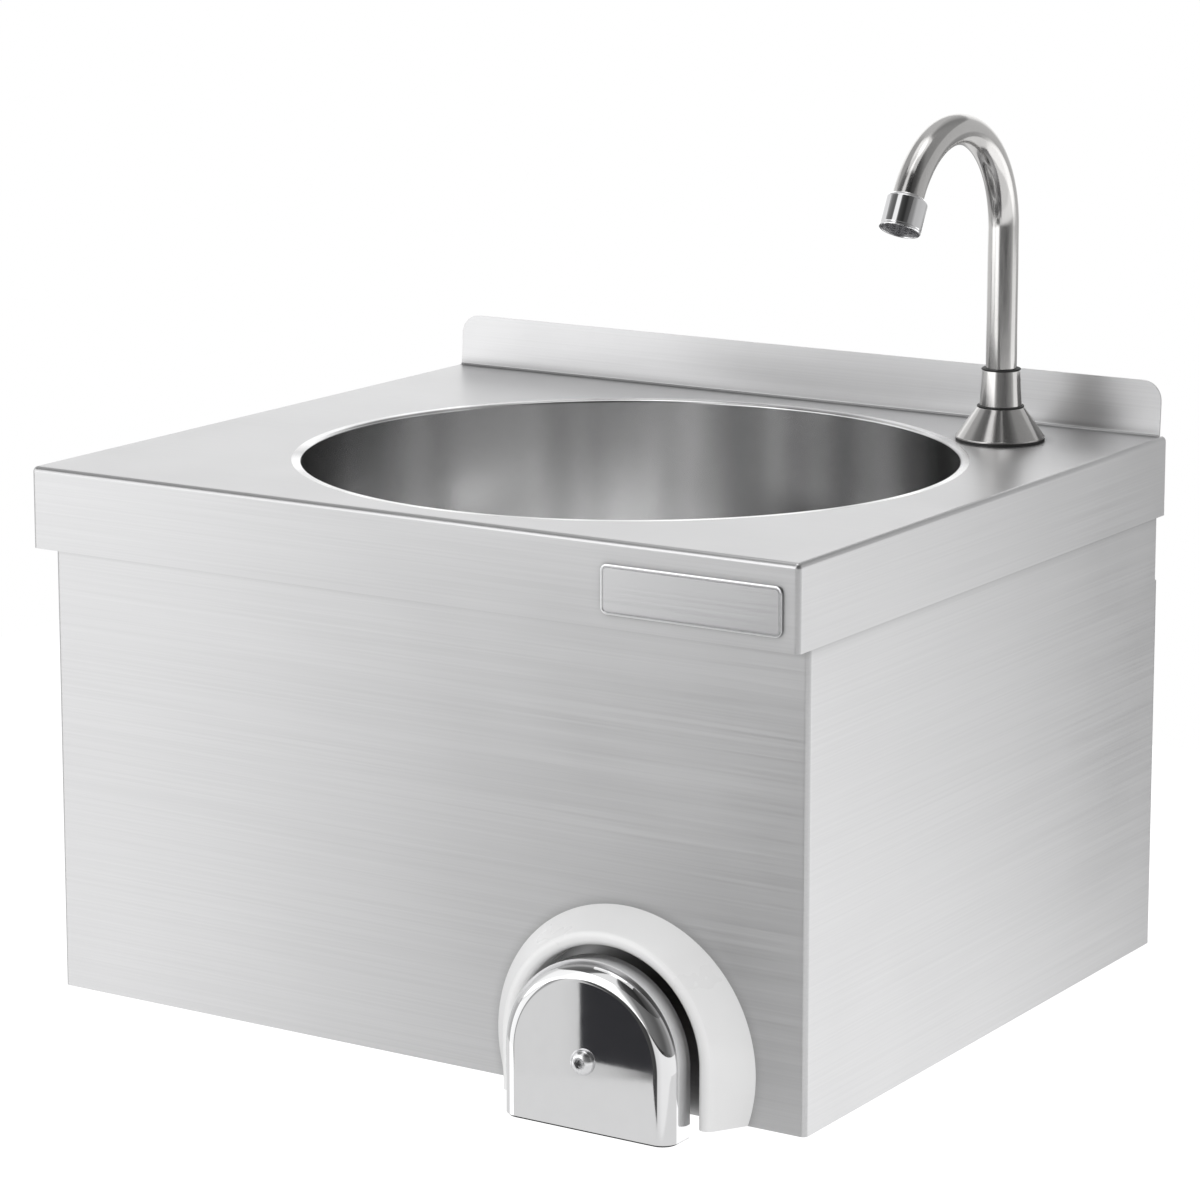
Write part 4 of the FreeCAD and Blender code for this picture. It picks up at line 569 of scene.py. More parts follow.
@dataclass
class Wardrobe:
    """Every finish of the sink, made once."""

    made: dict[str, bpy.types.Material]

    @classmethod
    def filled(cls) -> "Wardrobe":
        """Makes all the finishes, one for each material slot of the record."""
        basin = (Basin.x, Basin.y, 0.0)
        spout = (Spout.x, Spout.y, 0.0)
        finishes = {
            # sheet steel gets painted shade under the apron and along the splashback's foot
            "sheet_steel": MetalFinish("satin_sheet_steel", (0.64, 0.64, 0.645), 0.34, Grain.SHEET,
                                       spread=0.035, roughness_spread=0.04, relief=0.10, painted_shade_reach=7 * MM),
            # the bowl's bands are painted reflection bands, standing in for light mirrored by its wall
            "bowl_steel": MetalFinish("spun_bowl_steel", (0.74, 0.74, 0.745), 0.20, Grain.UPRIGHT_AXIS,
                                      spread=0.02, roughness_spread=0.02, relief=0.03, density=2500.0,
                                      centre=basin, bands=0.42),
            "polished_steel": MetalFinish("polished_steel", (0.78, 0.78, 0.785), 0.035, spread=0.01,
                                          roughness_spread=0.01, relief=0.01, density=120.0),
            "tube_steel": MetalFinish("satin_tube_steel", (0.68, 0.67, 0.66), 0.15, Grain.TUBE, spread=0.03,
                                      roughness_spread=0.03, relief=0.05, density=1200.0, centre=spout),
            "chrome": MetalFinish("bright_chrome", (0.90, 0.90, 0.91), 0.05, spread=0.01,
                                  roughness_spread=0.02, relief=0.01, density=150.0),
            "brass": MetalFinish("machined_brass", (0.72, 0.53, 0.26), 0.30, Grain.TUBE, spread=0.08,
                                 roughness_spread=0.06, relief=0.12, density=1500.0),
            "nickel_brass": MetalFinish("nickel_plate", (0.70, 0.67, 0.62), 0.22, spread=0.04, relief=0.05),
            "pipe_steel": MetalFinish("drawn_pipe_steel", (0.66, 0.66, 0.67), 0.28, Grain.TUBE, spread=0.06,
                                      density=1300.0),
            # zinc steel gets painted shade in the screw's hex socket
            "zinc_steel": MetalFinish("bright_zinc_steel", (0.80, 0.80, 0.81), 0.24, Grain.SHEET, spread=0.02,
                                      roughness_spread=0.02, relief=0.03, painted_shade_reach=3 * MM),
            "black_rubber": MouldedFinish("black_rubber", (0.018, 0.018, 0.018), 0.55),
            "black_plastic": MouldedFinish("black_plastic", (0.014, 0.014, 0.015), 0.38, spread=0.1,
                                           texture=0.12),
            "grey_plastic": MouldedFinish("grey_plastic", (0.16, 0.16, 0.17), 0.42, spread=0.06, texture=0.1),
            "white_plastic": MouldedFinish("white_plastic", (0.89, 0.89, 0.89), 0.30, coat=0.35, spread=0.01,
                                           texture=0.03, scale=500.0),
        }
        return cls({slot: finish.build() for slot, finish in finishes.items()})

    def of_node(self, node: str) -> str:
        """Material slot that the record gives a node."""
        for entry in frame["record"]["subparts"]:
            if entry["node"] == node:
                return entry["material_slot"]
        raise KeyError(node)


SMOOTH_LIMIT = 32.0          # degrees over which an edge stays sharp
FOLD_LIMIT = 25.0            # the same for folded sheet
FACE_WEIGHT = 100            # large faces weigh most in the shading of the folds beside them


def body_of_node(node: str) -> str:
    """Body that a CAD node rides on."""
    for body, members in frame["record"]["behaviour"]["bodies"].items():
        if node in members:
            return body
    raise KeyError(node)


def place_piece(mesh: bpy.types.Mesh, name: str, nodes: Sequence[str], wardrobe: Wardrobe,
                slots: Sequence[str] = (), sharp: float = SMOOTH_LIMIT) -> bpy.types.Object:
    """Puts a mesh in the scene in place of CAD nodes, smooth except at its sharp edges.

    Args:
        mesh: The finished mesh.
        name: Name of the piece.
        nodes: CAD nodes that it stands for.
        wardrobe: The finishes.
        slots: Material slots of the mesh; the first node's slot if empty.
        sharp: Angle in degrees over which an edge stays sharp.

    Returns:
        The piece.
    """
    names = list(slots) or [wardrobe.of_node(nodes[0])]
    mesh.materials.clear()
    for slot in names:
        mesh.materials.append(wardrobe.made[slot])
    mesh.polygons.foreach_set("use_smooth", [True] * len(mesh.polygons))
    mesh.set_sharp_from_angle(angle=math.radians(sharp))
    piece = add_object(name, mesh)
    weigh = piece.modifiers.new("even_faces", "WEIGHTED_NORMAL")
    weigh.keep_sharp = True
    weigh.weight = FACE_WEIGHT
    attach(piece, body_of_node(nodes[0]))
    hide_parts(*nodes)
    LOG.info("piece %s: %d faces, for %s", name, len(mesh.polygons), ", ".join(nodes))
    return piece


def smooth_nodes(nodes: Sequence[str], wardrobe: Wardrobe, sharp: float = SMOOTH_LIMIT) -> None:
    """Shows joined, smoothly shaded copies of CAD nodes whose shape is right.

    Args:
        nodes: Names of the nodes.
        wardrobe: The finishes.
        sharp: Angle in degrees over which an edge stays sharp.
    """
    for node in nodes:
        place_piece(merged_copy(node), node + "_dressed", [node], wardrobe, sharp=sharp)


# ---- sheet metal ------------------------------------------------------------------------
@dataclass
class SheetMetal:
    """Deck, casing, wall rail and the bare plate on the apron."""

    plate_x: float = 186 * MM
    plate_z: float = 34 * MM
    plate_front: float = -431.5 * MM
    plate_width: float = 109 * MM
    plate_height: float = 27 * MM
    plate_corner: float = 4 * MM
    corner_steps: int = 8
    plate_steps: tuple[tuple[float, float], ...] = (
        (0.0, 1.5), (0.0, 0.45), (0.12, 0.15), (0.4, 0.0), (1.15, 0.0), (1.4, 0.35), (1.9, 0.35), (2.1, 0.1))
    deck_top: float = 60 * MM
    deck_under: float = 58.8 * MM
    splash_top: float = 92.4 * MM
    splash_half: float = 247 * MM
    splash_fold: float = 4.2 * MM
    splash_lean: float = 1.7 * MM

    def lean_splash(self, mesh: bpy.types.Mesh) -> None:
        """Leans the splashback back a little: its foot comes forward and its top edge stays.

        A point moves forward by the lean times its share of the way down from the top edge.
        """
        points = points_of(mesh)
        near = ((points[:, 1] > -self.splash_fold - MERGING) & (points[:, 2] > self.deck_under - MERGING)
                & (np.abs(points[:, 0]) < self.splash_half + MERGING))
        share = np.clip((self.splash_top - points[:, 2]) / (self.splash_top - self.deck_top), 0.0, 1.0)
        points[:, 1] -= np.where(near, self.splash_lean * share, 0.0)
        mesh.vertices.foreach_set("co", points.reshape(-1))
        mesh.update()

    def plate_ring(self, inset: float, depth: float) -> np.ndarray:
        """Rounded rectangle of the plate, drawn in by an inset, at a depth behind its front.

        Its corner arcs are (cos angle, sin angle) quarter circles about four corner centres.
        """
        radius = self.plate_corner - min(inset, self.plate_corner * 0.8)
        half = np.array([self.plate_width / 2 - inset - radius, self.plate_height / 2 - inset - radius])
        angle = np.linspace(0.0, math.pi / 2, self.corner_steps + 1)
        signs = np.array([[1, 1], [-1, 1], [-1, -1], [1, -1]])
        turn = angle[None, :] + np.arange(4)[:, None] * math.pi / 2
        flat = (signs * half)[:, None, :] + radius * np.stack([np.cos(turn), np.sin(turn)], axis=-1)
        flat = flat.reshape(-1, 2)
        depth_column = np.full(len(flat), self.plate_front + depth)
        return np.stack([self.plate_x + flat[:, 0], depth_column, self.plate_z + flat[:, 1]], axis=1)

    def build_plate(self) -> Shell:
        """Plate with black sides, painted shade of the gap round it, a rounded rim, a fine groove inside it
        and a flat, bare face.

        Its steps are insets and depths behind the front in millimetres, from the back's edge
        to the face.
        """
        rings = np.stack([self.plate_ring(inset * MM, depth * MM) for inset, depth in self.plate_steps])
        shell = Shell.empty()
        # the sides take the black plastic slot: painted shade of the gap round the plate
        shell.add_grid(rings[:2], close_v=True, tag=1)
        shell.add_fill(rings[0], tag=1)
        shell.add_grid(rings[1:], close_v=True)
        shell.add_fill(rings[-1])
        return shell

    def dress(self, wardrobe: Wardrobe) -> None:
        """Places and finishes the sheet metal."""
        deck = merged_copy("deck")
        self.lean_splash(deck)
        place_piece(deck, "deck_dressed", ["deck"], wardrobe, sharp=FOLD_LIMIT)
        smooth_nodes(["casing", "wall_rail", "mixer_bracket"], wardrobe, FOLD_LIMIT)
        # the plate's second slot, black plastic, paints the shade of the gap round it on its sides
        place_piece(self.build_plate().mesh("badge_plate_face"), "badge_plate_face", ["badge_plate"],
                    wardrobe, ["zinc_steel", "black_plastic"])


# ---- bowl and waste ---------------------------------------------------------------------
@dataclass
class Basin:
    """The round bowl and the waste under it."""

    x: float = 17 * MM
    y: float = -219 * MM
    top: float = 60 * MM
    radius: float = 188 * MM
    edge: float = 2 * MM
    land: float = 3.6 * MM
    floor: float = -98 * MM
    fall: float = 4.4 * MM
    floor_bend: float = 62 * MM
    recess: float = 38 * MM
    recess_depth: float = 3 * MM
    recess_brow: float = 1.95 * MM
    recess_bend: float = 1.5 * MM
    hole: float = 26 * MM
    sheet: float = 1.2 * MM
    above_deck: float = 0.02 * MM
    arc_steps: int = 16
    segments: int = 320

    def build_bowl(self) -> Shell:
        """Bent section of the spun sheet, turned about the bowl's axis; its land is deck steel."""
        land = self.top + self.above_deck
        corners = [
            (self.radius + self.edge + self.land, land),
            (self.radius, land),
            (self.radius, self.floor + self.fall),
            (self.recess + self.recess_depth, self.floor),
            (self.recess, self.floor - self.recess_depth),
            (self.hole, self.floor - self.recess_depth),
        ]
        bends = [self.edge, self.floor_bend, self.recess_brow, self.recess_bend]
        outline = sheet_outline(corners, bends, self.sheet, self.arc_steps)
        grid = turned(outline[:, ::-1], (self.x, self.y, 0.0), (0, 0, 1), self.segments)
        shell = Shell.empty()
        shell.add_grid(grid, close_u=True, close_v=True)
        heights = grid[:, 0, 2]
        flat_row = (heights > self.top) & (np.roll(heights, -1) > self.top)
        shell.tags = np.repeat(flat_row.astype(int), self.segments).tolist()
        return shell

    def dress(self, wardrobe: Wardrobe) -> None:
        """Places and finishes the bowl and the waste."""
        place_piece(self.build_bowl().mesh("spun_bowl"), "spun_bowl", ["bowl"], wardrobe,
                    ["bowl_steel", "sheet_steel"])
        smooth_nodes(["drain_strainer", "strainer_screw", "drain_upper_gasket", "drain_lower_gasket",
                      "waste_body"], wardrobe)


# ---- spout ------------------------------------------------------------------------------
@dataclass
class Spout:
    """The gooseneck, its outlet and its conical foot; what is turned is in millimetres."""

    x: float = 172 * MM
    y: float = -60 * MM
    foot: float = 88.3 * MM
    bend_start: float = 185 * MM
    bend_radius: float = 62 * MM
    bend_degrees: float = 152.0
    straight: float = 8 * MM
    outer: float = 9 * MM
    inner: float = 7.5 * MM
    cap_radius: float = 12.0
    cap_length: float = 20.0
    cap_wall: float = 1.4
    seat_gap: float = 0.05
    seal_radius: float = 0.5
    bend_steps: int = 120
    seal_steps: int = 8
    segments: int = 96

    def centreline(self) -> np.ndarray:
        """Upright line, then a bend of (1 - cos angle, sin angle) times its radius, then a straight end."""
        angle = np.radians(np.linspace(0.0, self.bend_degrees, self.bend_steps + 1))
        bend_y = self.y - self.bend_radius * (1 - np.cos(angle))
        bend_z = self.bend_start + self.bend_radius * np.sin(angle)
        end, flow = self.outlet()
        last = end + flow * self.straight
        y = np.concatenate([[self.y], bend_y, [last[1]]])
        z = np.concatenate([[self.foot], bend_z, [last[2]]])
        return np.stack([np.full(len(y), self.x), y, z], axis=1)

    def outlet(self) -> tuple[np.ndarray, np.ndarray]:
        """Point where the bend ends and the direction of flow there."""
        bend = math.radians(self.bend_degrees)
        end = np.array([self.x, self.y - self.bend_radius * (1 - math.cos(bend)),
                        self.bend_start + self.bend_radius * math.sin(bend)])
        return end, np.array([0.0, -math.sin(bend), math.cos(bend)])

    def build_tube(self) -> Shell:
        """Outer and inner tube walls along one centreline, joined at both ends."""
        path = self.centreline()
        walls = [swept_circle(path, (1, 0, 0), radius, self.segments) for radius in (self.outer, self.inner)]
        shell = Shell.empty()
        for wall in walls:
            shell.add_grid(wall, close_v=True)
        for row in (0, -1):
            shell.add_grid(np.stack([walls[0][row], walls[1][row]]), close_v=True)
        return shell

    def turned_ring(self, profile: Sequence[tuple[float, float]], upright: bool = True) -> Shell:
        """Closed profile in millimetres turned about the upright tube, or about the outlet's axis."""
        origin, axis = ((self.x, self.y, 0.0), (0.0, 0.0, 1.0)) if upright else self.outlet()
        shell = Shell.empty()
        grid = turned(np.asarray(profile, float) * MM, origin, axis, self.segments)
        shell.add_grid(grid, close_u=True, close_v=True)
        return shell

    def build_cap(self) -> Shell:
        """Outlet cap: conical shoulder, straight barrel and a rolled rim.

        The shoulder's points are counted from the cap's start and the rim's from its end,
        along the flow, and both from the barrel's radius.
        """
        shoulder = [(0.0, -2.3), (0.3, -2.0), (1.8, -0.35), (2.3, -0.1), (2.9, 0.0)]
        rim = [(-2.2, 0.0), (-1.7, -0.15), (-1.4, -0.2), (-1.1, -0.15), (-0.7, -0.1), (-0.2, -0.3),
               (0.0, -0.6), (-0.1, -1.2), (-0.6, -self.cap_wall)]
        seat = self.straight / MM + self.seat_gap
        bore = self.outer / MM + self.seat_gap
        profile = [(0.0, bore)]
        profile += [(along, self.cap_radius + inward) for along, inward in shoulder]
        profile += [(self.cap_length + back, self.cap_radius + inward) for back, inward in rim]
        profile += [(seat, self.cap_radius - self.cap_wall), (seat, bore)]
        return self.turned_ring(profile, upright=False)

    def build_cone(self) -> Shell:
        """Conical foot with a small upright rim and softened edges: heights and radii."""
        profile = [(61.5, 23.8), (61.5, 25.85), (61.6, 25.98), (61.75, 26.0), (62.25, 26.0), (62.5, 25.9),
                   (62.75, 25.6), (79.2, 13.98), (79.4, 13.9), (79.5, 13.75), (79.5, 10.7), (77.3, 10.7)]
        return self.turned_ring(profile)

    def build_collar(self) -> Shell:
        """Tapered collar with softened edges: heights and radii."""
        profile = [(80.5, 10.45), (80.5, 12.1), (80.6, 12.25), (80.8, 12.29), (101.0, 11.03), (101.2, 10.97),
                   (101.3, 10.85), (101.3, 9.05), (95.3, 9.05), (95.3, 10.45)]
        return self.turned_ring(profile)

    def build_seal(self, foot: float, outer: float, inner: float) -> Shell:
        """Black ring whose outer edge is a half circle in section.

        Args:
            foot: Height of its lower face.
            outer: Outer radius.
            inner: Inner radius.

        Returns:
            The ring.
        """
        angle = np.linspace(-math.pi / 2, math.pi / 2, self.seal_steps + 1)
        edge_z = foot + self.seal_radius * (1 + np.sin(angle))
        edge = np.stack([edge_z, outer - self.seal_radius * (1 - np.cos(angle))], axis=1)
        top = foot + 2 * self.seal_radius
        return self.turned_ring(np.concatenate([[[foot, inner]], edge, [[top, inner]]]).tolist())

    def dress(self, wardrobe: Wardrobe) -> None:
        """Places and finishes the spout and its foot."""
        pieces = (
            ("gooseneck", "spout_tube", self.build_tube(), ()),
            ("outlet_cap", "aerator_cap", self.build_cap(), ()),
            ("conical_foot", "spout_cone", self.build_cone(), ("tube_steel",)),
            ("tapered_collar", "spout_collar", self.build_collar(), ("tube_steel",)),
            ("upper_ring", "collar_seal", self.build_seal(101.3, 11.5, 9.05), ()),
            ("lower_ring", "cone_seal", self.build_seal(79.5, 13.75, 10.45), ()),
        )
        for name, node, shell, slots in pieces:
            place_piece(shell.mesh(name), name, [node], wardrobe, slots)
        smooth_nodes(["base_gasket", "aerator_insert", "aerator_seal", "spout_clip", "tap_shank", "shank_nut",
                      "shank_washer", "shank_gasket", "spout_o_rings"], wardrobe)


# ---- knee control -----------------------------------------------------------------------
@dataclass
class KneeControl:
    """The polished pad, the white shroud round it and the valve behind them."""

    x: float = 136 * MM
    z: float = -215 * MM
    pad_radius: float = 53 * MM
    pad_front: float = -455 * MM
    pad_back: float = -434 * MM
    pad_bottom: float = -252.5 * MM
    pad_edge: float = 10 * MM
    sheet: float = 1.2 * MM
    hole: float = 4.3 * MM
    panel: float = -414 * MM
    casing_bottom: float = -248 * MM
    shroud_mouth: float = 57 * MM
    shroud_depth: float = 20 * MM
    shroud_land: float = 4 * MM
    shroud_nose: float = 7 * MM
    shroud_slope: float = 40.0
    shroud_drop: float = 6 * MM
    shroud_taper: float = 4.6 * MM
    shroud_lip: float = 3.6 * MM
    arch_steps: int = 96
    leg_steps: int = 8
    edge_steps: int = 24
    base_steps: int = 16
    face_rings: int = 4
    nose_steps: int = 14
    flank_steps: int = 12
    moon_steps: int = 120

    def arch(self) -> tuple[np.ndarray, np.ndarray]:
        """Left leg up, half circle, right leg down: points on a unit arch and their outward directions.

        Returns:
            Spine points that the outline stands off from, and outward directions, both (n, 2).
        """
        angle = np.linspace(math.pi, 0.0, self.arch_steps + 1)
        leg = np.linspace(self.pad_bottom, self.z, self.leg_steps + 1)[:-1]
        ways = np.stack([np.cos(angle), np.sin(angle)], axis=1)
        left = np.tile([-1.0, 0.0], (len(leg), 1))
        right = np.tile([1.0, 0.0], (len(leg), 1))
        spine_z = np.concatenate([leg, np.full(len(angle), self.z), leg[::-1]])
        spine = np.stack([np.full(len(spine_z), self.x), spine_z], axis=1)
        return spine, np.concatenate([left, ways, right])

    def build_pad(self) -> Shell:
        """Pressed cap: flat face, quarter-round edge of (sin, cos) times its radius, straight wall.

        The face is rings of points that run evenly from the screw's hole to the face's edge.
        """
        spine, ways = self.arch()
        angle = np.linspace(0.0, math.pi / 2, self.edge_steps + 1)
        inner = self.pad_radius - self.pad_edge
        reach = np.concatenate([inner + self.pad_edge * np.sin(angle), [self.pad_radius]])
        depth = np.concatenate([self.pad_front + self.pad_edge * (1 - np.cos(angle)), [self.pad_back]])
        flat = spine[None] + reach[:, None, None] * ways[None]
        depth_grid = np.broadcast_to(depth[:, None], flat.shape[:2])
        grid = np.stack([flat[..., 0], depth_grid, flat[..., 1]], axis=-1)
        shell = Shell.empty()
        shell.add_grid(grid)
        base = np.linspace(inner, -inner, self.base_steps + 1)[1:-1]
        front, bottom = np.full(len(base), self.pad_front), np.full(len(base), self.pad_bottom)
        foot = np.stack([self.x + base, front, bottom], axis=1)
        loop = np.concatenate([grid[0], foot])
        centre = np.array([self.x, self.pad_front, self.z])
        rays = loop - centre
        hole = centre + self.hole * rays / np.linalg.norm(rays, axis=1)[:, None]
        share = np.linspace(0.0, 1.0, self.face_rings + 1)[:, None, None]
        shell.add_grid(hole[None] * (1 - share) + loop[None] * share, close_v=True)
        return shell

    def shroud_section(self) -> tuple[np.ndarray, np.ndarray, np.ndarray]:
        """Section of the shroud from its foot on the panel over the nose to the mouth's wall.

        The flank leans by a fixed slope and meets the nose's arc along a tangent; a flat land
        and a smaller arc lead into the mouth. The share is 1 at the panel's end of the flank
        and falls evenly to 0 at the front; it says how far the outline drops and draws in.

        Returns:
            Radii, depths in front of the panel, and shares.
        """
        slope = math.radians(self.shroud_slope)
        land = self.shroud_mouth + self.shroud_land
        middle = self.shroud_depth - self.shroud_nose
        nose = np.linspace(math.pi / 2 - slope, math.pi / 2, self.nose_steps + 1)
        radius = land + self.shroud_nose * np.cos(nose)
        depth = middle + self.shroud_nose * np.sin(nose)
        foot = radius[0] + depth[0] * math.tan(slope)
        flank = np.linspace(0.0, 1.0, self.flank_steps, endpoint=False)
        lip = np.linspace(0.0, math.pi / 2, self.flank_steps + 1)
        lip_radius = self.shroud_mouth + self.shroud_lip * (1 - np.sin(lip))
        lip_depth = self.shroud_depth - self.shroud_lip * (1 - np.cos(lip))
        radii = np.concatenate([foot + (radius[0] - foot) * flank, radius, lip_radius, [self.shroud_mouth]])
        depths = np.concatenate([depth[0] * flank, depth, lip_depth, [0.0]])
        shares = 1 - depths / self.shroud_depth
        shares[len(flank) + len(nose):] = 0.0
        return radii, depths, shares

    def build_shroud(self) -> Shell:
        """Half-moon: each section point is carried up one side, round a half circle and down the other.

        At share s the half circle's centre lies s times the drop below the pad's axis, and
        the sides draw in by s times the taper times the square of the way down to the foot.
        """
        radii, depths, shares = self.shroud_section()
        angle = np.linspace(0.0, math.pi, self.moon_steps + 1)
        down = np.linspace(1.0, 0.0, self.flank_steps + 1)[:-1]
        across = np.concatenate([np.ones(len(down)), np.cos(angle), -np.ones(len(down))])
        up = np.concatenate([np.zeros(len(down)), np.sin(angle), np.zeros(len(down))])
        low = np.concatenate([down, np.zeros(len(angle)), down[::-1]])
        centre_z = (self.z - self.shroud_drop * shares)[:, None]
        half = radii[:, None] - self.shroud_taper * shares[:, None] * low[None] ** 2
        height = centre_z + radii[:, None] * up[None] - (centre_z - self.casing_bottom) * low[None]
        grid = np.stack([self.x + half * across[None],
                         np.broadcast_to(self.panel - depths[:, None], half.shape), height], axis=-1)
        shell = Shell.empty()
        shell.add_grid(grid, close_u=True)
        shell.add_fill(grid[:, 0])
        shell.add_fill(grid[:, -1])
        return shell

    def thicken_pad(self, pad: bpy.types.Object) -> None:
        """Gives the pad its wall, with sharp edges round its hole and its rim.

        Args:
            pad: The pad's outer surface.
        """
        wall = pad.modifiers.new("sheet", "SOLIDIFY")
        wall.thickness = self.sheet
        wall.offset = -1.0
        pad.modifiers.move(len(pad.modifiers) - 1, 0)
        surface = bmesh.new()
        surface.from_mesh(pad.data)
        for edge in surface.edges:
            edge.smooth = edge.smooth and not edge.is_boundary
        surface.to_mesh(pad.data)
        surface.free()

    def dress(self, wardrobe: Wardrobe) -> None:
        """Places and finishes the knee control."""
        pad = place_piece(self.build_pad().mesh("pressed_pad"), "pressed_pad", ["knee_pad"], wardrobe)
        self.thicken_pad(pad)
        place_piece(self.build_shroud().mesh("half_moon_shroud"), "half_moon_shroud", ["shroud"], wardrobe)
        place_piece(merged_copy("pad_screw"), "pad_screw_dressed", ["pad_screw"], wardrobe, ["zinc_steel"])
        smooth_nodes(["pad_core", "push_rod", "rod_bush", "valve_nut", "valve_body", "valve_plunger",
                      "plunger_seals", "valve_plug", "shroud_screws", "return_spring"], wardrobe)


# ---- pipes and mixer --------------------------------------------------------------------
@dataclass
class Plumbing:
    """The pipes and the mixer inside the casing."""

    nodes: tuple[str, ...] = (
        "feed_pipe", "riser_pipe", "union_nuts", "spout_union_nut", "union_washers", "mixer_body",
        "inlet_nipples", "check_valves", "inlet_filters", "mixing_spindle", "spindle_gland",
        "temperature_knob", "knob_screw", "mixer_screws",
    )

    def dress(self, wardrobe: Wardrobe) -> None:
        """Finishes the pipes and the mixer."""
        smooth_nodes(self.nodes, wardrobe)


# ---- studio -----------------------------------------------------------------------------
@dataclass(frozen=True)
class SoftLight:
    """One soft light panel."""

    name: str
    place: tuple[float, float, float]
    target: tuple[float, float, float]
    width: float
    height: float
    watts: float


@dataclass(frozen=True)
class CardBand:
    """A band of pale and dark cards round the sink, with a level for each direction.

    A direction is in degrees from +X towards +Y.
    """

    name: str
    low: float
    high: float
    levels: tuple[tuple[float, float], ...]


SPOUT_LEVELS = (
    (-180, 0.75), (-165, 0.75), (-148, 0.30), (-126, 0.20), (-118, 0.30), (-114, 1.60), (-90, 1.60),
    (-85, 0.30), (-77, 0.10), (-50, 0.05), (-36, 0.12), (-20, 0.15), (-9, 0.26), (8, 0.50), (45, 0.56),
    (75, 0.45), (95, 0.80), (108, 1.0), (140, 1.0), (155, 0.75), (180, 0.75))
PANEL_LEVELS = (
    (-180, 0.60), (-150, 0.48), (-128, 0.42), (-119, 0.40), (-117, 0.80), (-113, 0.80), (-111.5, 0.08),
    (-90, 0.06), (-84, 0.85), (-60, 1.0), (15, 1.05), (42, 1.0), (58, 0.36), (90, 0.25), (130, 0.50),
    (180, 0.60))
SPLASH_LEVELS = (
    (-180, 0.75), (-160, 0.80), (-146, 1.15), (-126, 1.20), (-114, 1.80), (-97, 1.80), (-87, 0.50),
    (-77, 0.20), (-36, 0.12), (-9, 0.26), (8, 0.50), (45, 0.56), (75, 0.60), (90, 1.05), (100, 1.18),
    (150, 1.18), (165, 0.80), (180, 0.75))
HIGH_SHARE = 0.6             # level of the cards above the spout's own


